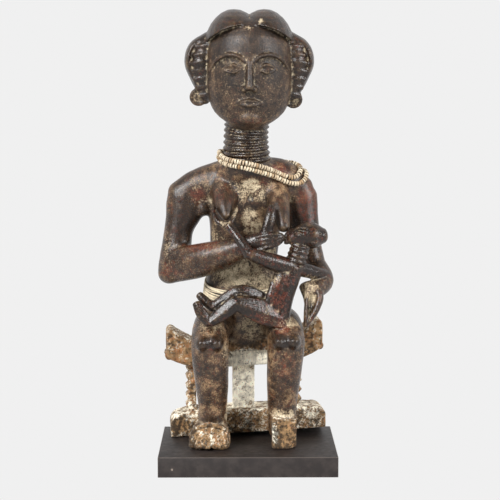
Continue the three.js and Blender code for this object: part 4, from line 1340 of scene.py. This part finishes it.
# The scales of the wood's patterns, from the coarsest to the finest.
PATCH_SCALE, BARE_SCALE, BLOT_SCALE, LINE_SCALE, RED_SCALE = 36.0, 120.0, 130.0, 190.0, 210.0
MOTTLE_SCALE, FIBRE_SCALE, FLECK_SCALE, GRIT_SCALE, DUST_SCALE = 270.0, 420.0, 520.0, 680.0, 760.0


def carved_wood_material():
    """Handled dark wood: a patina over red and brown wood, film, clay in the hollows, crust below."""
    values = settings("carving")
    material, tree, shader, place = new_material("carved_wood")
    tone, clay, red, groove, crust = [mark(tree, name) for name in ("tone", "clay", "red", "groove", "crust")]
    patches = speckle(tree, place, PATCH_SCALE, 0.5, 0.3)
    blots = speckle(tree, place, BLOT_SCALE, 0.5, 0.3)
    fibres = effect(tree, "Grain", Vector=place, Scale=FIBRE_SCALE)
    grit = speckle(tree, place, GRIT_SCALE, 0.5, 0.3)

    # The patina: dark and brown wood with fine streaks and grit, worn to red in places.
    lit = times(tree, tone, ranged(tree, patches, 0.45, 1.5))
    lit = times(tree, lit, ranged(tree, blots, 0.5, 1.5), clamp=True)
    wood = over(tree, values.dark_wood, values.brown_wood, lit)
    wood = shade_by(tree, wood, fibres, 0.6, 1.4)
    red_amount = times(tree, red, ranged(tree, patches, 0.7, 1.2))
    red_mask = speckle(tree, place, RED_SCALE, red_amount, 0.34)
    wood = over(tree, wood, values.red_wood, times(tree, red_mask, 0.7))
    wood = shade_by(tree, wood, grit, 0.32, 1.6)

    # A film of ochre dust in fine specks, thicker where the wood is light, and painted shade in the soot
    # colour where the surface is sheltered from the sky.
    dust = speckle(tree, place, DUST_SCALE, ranged(tree, lit, 0.06, 0.58), 0.22)
    worn = times(tree, mark(tree, "proud"), ranged(tree, blots, 0.0, 0.34))
    wood = over(tree, wood, values.film, greater(tree, times(tree, dust, 0.5), worn))
    wood = over(tree, wood, values.soot_and_shade, times(tree, mark(tree, "shelter"), 0.6))

    # Clay lies in spots and in the grooves, and breaks up at its edges.
    gathered = times(tree, greater(tree, mark(tree, "hollow"), groove), 0.2)
    clay_amount = maths(tree, "ADD", clay, gathered)
    clay_amount = times(tree, clay_amount, ranged(tree, blots, 0.55, 1.35))
    clay_mask = speckle(tree, place, FLECK_SCALE, clay_amount, 0.3)
    lines = times(tree, speckle(tree, place, LINE_SCALE, 0.46, 0.16), 0.85)
    in_grooves = times(tree, groove, lines)
    clay_mask = greater(tree, clay_mask, in_grooves)
    clay_cover = times(tree, clay_mask, 0.85)
    paleness = ranged(tree, greater(tree, clay_amount, groove), 0.1, 1.0)
    clay_colour = over(tree, values.tan, values.clay, paleness)
    clay_colour = shade_by(tree, clay_colour, grit, 0.5, 1.2)
    wood = over(tree, wood, clay_colour, clay_cover)

    # Crust on the stool and the feet: tan and orange ground, dark mottles and drifts of white lime.
    dark_amount = times(tree, ranged(tree, tone, 0.66, 0.2), ranged(tree, patches, 1.25, 0.7))
    mottles = speckle(tree, place, MOTTLE_SCALE, dark_amount, 0.14)
    bare = speckle(tree, place, BARE_SCALE, red, 0.3)
    lime_amount = times(tree, clay, ranged(tree, blots, 0.5, 1.4))
    lime = greater(tree, speckle(tree, place, FLECK_SCALE, lime_amount, 0.14), in_grooves)
    pits = speckle(tree, place, FLECK_SCALE, 0.36, 0.12)
    ground = over(tree, values.tan, values.orange_wood, times(tree, bare, 0.55))
    ground = over(tree, ground, values.lime, times(tree, lime, 0.94))
    ground = over(tree, ground, values.soot_and_shade, times(tree, mottles, 0.8))
    ground = shade_by(tree, ground, fibres, 0.8, 1.2)
    ground = shade_by(tree, ground, blots, 0.7, 1.3)
    ground = over(tree, ground, values.soot_and_shade, times(tree, pits, 0.66))
    colour = over(tree, wood, ground, crust)

    # Clay, crust and dust are dull. Fibres, grit, clay and lime stand proud, and pits are sunk.
    shine = ranged(tree, mark(tree, "polish"), 0.46, 0.15)
    shine = maths(tree, "ADD", shine, ranged(tree, grit, 0.12, 0.0))
    dull = greater(tree, clay_cover, crust, clamp=True)
    roughness = ranged(tree, greater(tree, dull, times(tree, dust, 0.4)), shine, 0.9)
    relief = times(tree, maths(tree, "ADD", fibres, grit), 0.35)
    relief = maths(tree, "ADD", relief, times(tree, clay_mask, 0.5))
    relief = maths(tree, "ADD", relief, times(tree, maths(tree, "SUBTRACT", lime, pits), crust))
    surfaced(tree, shader, colour, roughness, relief, 0.6, 0.4 * MM)
    return material


def bead_material():
    """Worn cream shell discs, each of its own tone, darkened on the flat faces where they meet."""
    values = settings("beads")
    material, tree, shader, place = new_material("cream_beads")
    stain = speckle(tree, place, 300.0, 0.4, 0.25)
    colour = over(tree, values.cream, values.tan, mark(tree, "tone"))
    colour = over(tree, colour, values.tan, times(tree, stain, 0.5))
    # The discs' flat faces, where they meet, are darkened.
    colour = over(tree, colour, values.dark_brown, times(tree, mark(tree, "groove"), 0.85))
    surfaced(tree, shader, colour, ranged(tree, stain, 0.5, 0.8), stain, 0.3, 0.1 * MM)
    return material


def string_material():
    """Thin twisted plant fibre, undyed and soiled."""
    values = settings("strings")
    material, tree, shader, place = new_material("pale_string")
    soil = speckle(tree, place, 130.0, 0.36, 0.3)
    twist = speckle(tree, place, 900.0, 0.5, 0.3)
    colour = over(tree, values.fibre, values.dark_brown, times(tree, soil, 0.45))
    colour = over(tree, colour, values.dark_brown, mark(tree, "tone"))
    colour = shade_by(tree, colour, twist, 0.75, 1.1)
    surfaced(tree, shader, colour, ranged(tree, twist, 0.75, 0.9), twist, 0.6, 0.2 * MM)
    return material


def plinth_material():
    """Matt black paint, a little rubbed at the edges, with a small pale scuff in front."""
    values = settings("plinth")
    material, tree, shader, place = new_material("black_plinth")
    brush = effect(tree, "Grain", Vector=place, Scale=160.0, Stretch=1.0)
    dust = speckle(tree, place, 60.0, 0.45, 0.3)
    colour = over(tree, values.black, values.worn, times(tree, dust, 0.16))
    colour = over(tree, colour, values.worn, times(tree, mark(tree, "proud"), 0.8))
    away = wired(tree, "VectorMath", {0: place, 1: values.scuff_place}, operation="DISTANCE").outputs["Value"]
    near = wired(tree, "MapRange", {0: away, 1: 0.0, 2: values.scuff_size, 3: 0.9, 4: 0.0}).outputs[0]
    scuff = speckle(tree, place, 900.0, near, 0.1)
    colour = over(tree, colour, values.scuff, times(tree, scuff, near))
    surfaced(tree, shader, colour, ranged(tree, brush, 0.5, 0.64), brush, 0.12, 0.1 * MM)
    return material


def paper_material():
    """Paper lit from behind: plain and pale, so that it shows no shadow."""
    material, _, shader, _ = new_material("glowing_paper")
    shader.inputs["Base Color"].default_value = (0, 0, 0, 1)
    shader.inputs["Roughness"].default_value = 1.0
    shader.inputs["Specular IOR Level"].default_value = 0.0
    shader.inputs["Emission Color"].default_value = (*settings("stage").paper, 1)
    shader.inputs["Emission Strength"].default_value = 1.0
    return material


def dressed(piece, material, slot, *nodes):
    """Gives a finished piece its material, its body and the frame's nodes that it stands for. The slot
    argument is not used.
    """
    piece.data.materials.clear()
    piece.data.materials.append(material)
    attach(piece, "root")
    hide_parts(*nodes)


# Beads and strings, laid on the finished carving

# The strands hang lopsided: tight at the left of the neck, over the other shoulder and up behind.
UPPER_STRAND = (
    (-36, 18, 359), (-31, 2, 352), (-22, -9, 349), (-10, -17, 347.5), (3, -18, 345), (16, -12, 341.5),
    (30, -1, 336.5), (41, 6, 331.5), (53, 10, 326), (60, 14, 326.5), (62, 25, 332), (57, 35, 337),
    (47, 42, 341), (34, 46, 344), (14, 48, 347), (-10, 48, 352), (-28, 37, 358),
)
LOWER_STRAND = (
    (-36.5, 22, 353), (-33, 7, 346.5), (-21, -9, 343.5), (-10, -15, 341.5), (3, -15, 338.5), (16, -9, 334.5),
    (30, -1, 330.5), (41, 3, 325), (53, 6, 319.5), (64, 9, 319), (70, 16, 323), (70.5, 27, 328),
    (65.5, 38, 333), (57, 46, 338), (46, 51, 340), (32, 54, 342), (8, 55, 345), (-14, 53, 348),
    (-31, 40, 352),
)
SMOOTHINGS = 4
BEAD_SIDES = 10
BEAD_EASING = 0.4 * MM
BEAD_TILT = 0.1
BEAD_WIDTHS, BEAD_LENGTHS, STAIN_ODDS = (0.86, 1.04), (0.8, 1.1), (0.9, 1.7)
BEAD_SMOOTH_ANGLE, PLINTH_SMOOTH_ANGLE = math.radians(40), math.radians(30)
UPPER_SEED, LOWER_SEED, STRING_SEED = 3, 8, 5


def closed_line(points, pitch):
    """Points at an even pitch along a closed line through rough points."""
    closed = np.array([*points, points[0]], float)
    walked = np.concatenate([[0], np.cumsum(np.linalg.norm(np.diff(closed, axis=0), axis=1))])
    count = round(walked[-1] / pitch)
    marks = np.arange(count) * walked[-1] / count
    return np.stack([np.interp(marks, walked, closed[:, i]) for i in range(3)], axis=1)


def cleared(tree, spot, distance):
    """A place moved straight out from a surface until it is a distance away from it."""
    nearest, facing, _, _ = tree.find_nearest(spot)
    away = spot - nearest
    outside = away.dot(facing) >= 0
    if outside and away.length >= distance:
        return spot
    way = away.normalized() if outside and away.length > TINY else facing
    return nearest + way * distance


def laid_line(trees, points, pitch, gap):
    """A closed line drawn smooth and kept a gap away from the surfaces that it lies on."""
    places = closed_line([on_grid(*point) for point in points], pitch)
    spots = [Vector(place) for place in places]
    for _ in range(SMOOTHINGS):
        drawn = [
            (spots[i - 1] + spots[(i + 1) % len(spots)] + spot * 2) / 4 for i, spot in enumerate(spots)
        ]
        for tree in trees:
            drawn = [cleared(tree, spot, gap) for spot in drawn]
        spots = drawn
    return spots


def one_bead(values):
    """A disc bead with eased edges, standing on its axis at the origin."""
    bpy.ops.mesh.primitive_cylinder_add(
        vertices=BEAD_SIDES, radius=values.diameter / 2, depth=values.thickness, enter_editmode=True
    )
    bpy.ops.mesh.select_all(action="DESELECT")
    bpy.ops.object.mode_set(mode="OBJECT")
    bead = bpy.context.object
    for edge in bead.data.edges:
        heights = [bead.data.vertices[i].co.z for i in edge.vertices]
        edge.select = abs(heights[0] - heights[1]) < TINY
    bpy.ops.object.mode_set(mode="EDIT")
    bpy.ops.mesh.bevel(offset=BEAD_EASING, segments=1)
    bpy.ops.object.mode_set(mode="OBJECT")
    heights = np.abs(corner_places(bead.data)[:, 2])
    # Marks the flat faces, which the material darkens.
    write_mark(bead.data, "groove", (heights > values.thickness / 2 - TINY) * 1.0)
    return bead


def bead_strand(name, line, seed):
    """Beads threaded side by side along a closed line."""
    values = settings("beads")
    chance = np.random.default_rng(seed)
    pattern = one_bead(values)
    beads = []
    for i, spot in enumerate(line):
        ahead = (line[(i + 1) % len(line)] - line[i - 1]).normalized()
        bead = pattern.copy()
        bead.data = pattern.data.copy()
        bpy.context.collection.objects.link(bead)
        tilt = Vector(chance.normal(0, BEAD_TILT, 3))
        turn = (ahead + tilt).to_track_quat("Z", "Y").to_matrix().to_4x4()
        spin = Matrix.Rotation(chance.uniform(0, math.pi), 4, "Z")
        wide = chance.uniform(*BEAD_WIDTHS)
        size = Matrix.Diagonal((wide, wide, chance.uniform(*BEAD_LENGTHS), 1))
        bead.matrix_world = Matrix.Translation(spot) @ turn @ spin @ size
        write_mark(bead.data, "tone", [chance.beta(*STAIN_ODDS)] * len(bead.data.vertices))
        beads.append(bead)
    bpy.data.objects.remove(pattern)
    strand = joined(name, beads)
    bpy.ops.object.shade_smooth_by_angle(angle=BEAD_SMOOTH_ANGLE)
    return strand


def closed_tube(spots, radius, sides):
    """A tube along a closed line of places, with its ends bridged."""
    count = len(spots)
    rings = []
    for i, spot in enumerate(spots):
        ahead = (spots[(i + 1) % count] - spots[i - 1]).normalized()
        rings.append((spot, radius, radius, ahead))
    bar_through(rings, Z_AXIS, sides, "NOTHING")
    bpy.ops.mesh.select_all(action="DESELECT")
    bpy.ops.object.mode_set(mode="OBJECT")
    tube = bpy.context.object
    last = len(tube.data.vertices) - sides
    for edge in tube.data.edges:
        ends = list(edge.vertices)
        edge.select = max(ends) < sides or min(ends) >= last
    bpy.ops.object.mode_set(mode="EDIT")
    bpy.ops.mesh.bridge_edge_loops()
    bpy.ops.mesh.select_all(action="SELECT")
    bpy.ops.mesh.normals_make_consistent(inside=False)
    bpy.ops.object.mode_set(mode="OBJECT")
    return tube


# The strings lie one above the other round the hips, high behind and dipping under the belly in front.
HIP_X, HIP_Y = -5, 34
HIP_LEVEL = 188
HIP_DIP = math.radians(20)
HIP_DEPTH = 33
HIP_HEIGHT = 18
STRING_STEPS, STRING_SIDES = 90, 7
STRING_WANDER, STRING_LIFT = 0.55, 0.55
SPAN_STEPS, SPAN_SMOOTHINGS = 4, 6
SOIL_MOST = 0.35


def hip_string(tree, share, chance, diameter):
    """One string of the bundle, at a share of the bundle's height, laid level round the hips."""
    middle = on_grid(HIP_X, HIP_Y, HIP_LEVEL)
    turns = np.arange(STRING_STEPS) * 2 * math.pi / STRING_STEPS
    waves = chance.uniform(0, 2 * math.pi, 3)
    wander = sum(np.sin(turns * (n + 1) + wave) for n, wave in enumerate(waves)) * STRING_WANDER * STEP
    reaches, heights = [], []
    for turn, stray in zip(turns, wander):
        fall = math.tan(HIP_DIP) * math.sin(turn) * HIP_DEPTH * STEP
        start = middle + Z_AXIS * (fall + stray + (share - 0.5) * HIP_HEIGHT * STEP)
        way = Vector((math.cos(turn), math.sin(turn), 0))
        reaches.append(tree.ray_cast(start, way)[3])
        heights.append(start.z)
    reaches = np.array(reaches)
    steps = range(-SPAN_STEPS, SPAN_STEPS + 1)
    spanned = np.max([np.roll(reaches, step) for step in steps], axis=0)
    for _ in range(SPAN_SMOOTHINGS):
        spanned = (np.roll(spanned, 1) + np.roll(spanned, -1) + 2 * spanned) / 4
    out = np.maximum(spanned, reaches) + diameter * STRING_LIFT
    spots = [
        Vector((middle.x + math.cos(turn) * reach, middle.y + math.sin(turn) * reach, height))
        for turn, reach, height in zip(turns, out, heights)
    ]
    tube = closed_tube(spots, diameter / 2, STRING_SIDES)
    write_mark(tube.data, "tone", [chance.uniform(0, SOIL_MOST)] * len(tube.data.vertices))
    return tube


# The operators, one for each piece or group of like pieces

class CARVING_OT_figure(bpy.types.Operator):
    """Carve mother, child and stool from one block and finish the wood"""

    bl_idname = "carving.figure"
    bl_label = "Carve the figure"

    def execute(self, context):
        dressed(whole_figure(), carved_wood_material(), "carved_wood", "figure")
        return {"FINISHED"}


class CARVING_OT_beads(bpy.types.Operator):
    """Thread the two strands of disc beads and lay them round the neck"""

    bl_idname = "carving.beads"
    bl_label = "Lay the bead strands"

    def execute(self, context):
        values = settings("beads")
        trees = [tree_of(bpy.data.objects["carved_figure"].data)]
        material = bead_material()
        gap = values.diameter / 2
        line = laid_line(trees, UPPER_STRAND, values.pitch, gap)
        upper = bead_strand("beads_upper", line, UPPER_SEED)
        trees.append(tree_of(upper.data))
        line = laid_line(trees, LOWER_STRAND, values.pitch, gap)
        lower = bead_strand("beads_lower", line, LOWER_SEED)
        dressed(upper, material, "cream_beads", "bead_strand_upper")
        dressed(lower, material, "cream_beads", "bead_strand_lower")
        return {"FINISHED"}


class CARVING_OT_strings(bpy.types.Operator):
    """Tie the bundle of thin strings round the hips"""

    bl_idname = "carving.strings"
    bl_label = "Tie the hip strings"

    def execute(self, context):
        values = settings("strings")
        tree = tree_of(bpy.data.objects["carved_figure"].data)
        chance = np.random.default_rng(STRING_SEED)
        shares = [i / max(1, values.count - 1) for i in range(values.count)]
        tubes = [hip_string(tree, share, chance, values.diameter) for share in shares]
        bundle = joined("hip_string_bundle", tubes)
        bpy.ops.object.shade_smooth()
        dressed(bundle, string_material(), "pale_string", "hip_strings")
        return {"FINISHED"}


class CARVING_OT_plinth(bpy.types.Operator):
    """Make the painted plinth with eased edges"""

    bl_idname = "carving.plinth"
    bl_label = "Make the plinth"

    def execute(self, context):
        edge = settings("plinth").edge
        size = PLINTH_HIGH - PLINTH_LOW
        middle = (PLINTH_HIGH + PLINTH_LOW) / 2
        bpy.ops.mesh.primitive_cube_add(size=1, enter_editmode=True, location=middle)
        resize_selected(tuple(size), (X_AXIS, Y_AXIS, Z_AXIS), middle)
        bpy.ops.mesh.bevel(offset=edge, segments=EASING_SEGMENTS)
        bpy.ops.object.mode_set(mode="OBJECT")
        board = joined("painted_plinth", [bpy.context.object])
        outer = np.abs(corner_places(board.data) - np.array(middle)) > np.array(size) / 2 - TINY
        write_mark(board.data, "proud", (outer.sum(axis=1) == 0) * 1.0)
        bpy.ops.object.shade_smooth_by_angle(angle=PLINTH_SMOOTH_ANGLE)
        dressed(board, plinth_material(), "black_plinth", "plinth")
        return {"FINISHED"}


# The size of the floor and the backdrop. Their far edge still shows as a thin band in some side views.
PAPER_SIZE = 200
BACKDROP_AWAY = 3
# Each light's name, its place, its softness in degrees and its power.
LIGHTS = (("key", (-0.9, -1.2, 1.2), 18, 3.4), ("fill", (1.3, -0.9, 0.9), 20, 2.2))
LIGHT_AIM = Vector((0, 0, 0.3))


class CARVING_OT_stage(bpy.types.Operator):
    """Set the pale floor and backdrop, the soft lights and the camera"""

    bl_idname = "carving.stage"
    bl_label = "Set the stage"

    def execute(self, context):
        values = settings("stage")
        paper = paper_material()
        for name, away, tilt in (("floor", 0, 0), ("backdrop", BACKDROP_AWAY, math.pi / 2)):
            bpy.ops.mesh.primitive_plane_add(size=PAPER_SIZE, location=(0, away, 0), rotation=(tilt, 0, 0))
            sheet = joined(name, [bpy.context.object])
            sheet.data.materials.append(paper)
        world = bpy.data.worlds.new("pale room")
        bpy.context.scene.world = world
        world.use_nodes = True
        background = world.node_tree.nodes["Background"]
        background.inputs["Color"].default_value = (*values.room, 1)
        background.inputs["Strength"].default_value = 1.0
        for light in LIGHTS:
            add_light(*light)
        context.scene.view_settings.view_transform = "Standard"
        bpy.ops.object.camera_add(
            location=values.camera_place,
            rotation=(math.pi / 2 - values.camera_pitch, 0, -values.camera_yaw),
        )
        camera = bpy.context.object
        camera.data.lens = values.lens
        camera.data.clip_end = PAPER_SIZE
        context.scene.camera = camera
        return {"FINISHED"}


def add_light(name, place, softness, power):
    """A soft distant light that shines from a side on the middle of the figure."""
    turn = (LIGHT_AIM - Vector(place)).to_track_quat("-Z", "Y").to_euler()
    bpy.ops.object.light_add(type="SUN", location=place, rotation=turn)
    light = bpy.context.object
    light.name = name
    light.data.angle = math.radians(softness)
    light.data.energy = power


class CARVING_PT_panel(bpy.types.Panel):
    """The settings of the carving and its operators"""

    bl_label = "Maternity figure"
    bl_idname = "CARVING_PT_panel"
    bl_space_type = "VIEW_3D"
    bl_region_type = "UI"
    bl_category = "Carving"

    def draw(self, context):
        for name, group in SETTINGS.items():
            box = self.layout.box()
            for label in group.__annotations__:
                box.prop(settings(name), label)
        for operator in OPERATORS:
            self.layout.operator(operator.bl_idname)


OPERATORS = (
    CARVING_OT_stage, CARVING_OT_figure, CARVING_OT_beads, CARVING_OT_strings, CARVING_OT_plinth,
)
CLASSES = (*SETTINGS.values(), *OPERATORS, CARVING_PT_panel)


def register():
    for each in CLASSES:
        bpy.utils.register_class(each)
    for name, group in SETTINGS.items():
        setattr(bpy.types.Scene, "carving_" + name, bpy.props.PointerProperty(type=group))


def unregister():
    for name in SETTINGS:
        delattr(bpy.types.Scene, "carving_" + name)
    for each in reversed(CLASSES):
        bpy.utils.unregister_class(each)


def main():
    register()
    bpy.ops.object.select_all(action="DESELECT")
    bpy.ops.carving.stage()
    bpy.ops.carving.figure()
    bpy.ops.carving.beads()
    bpy.ops.carving.strings()
    bpy.ops.carving.plinth()


if __name__ == "__main__":
    main()
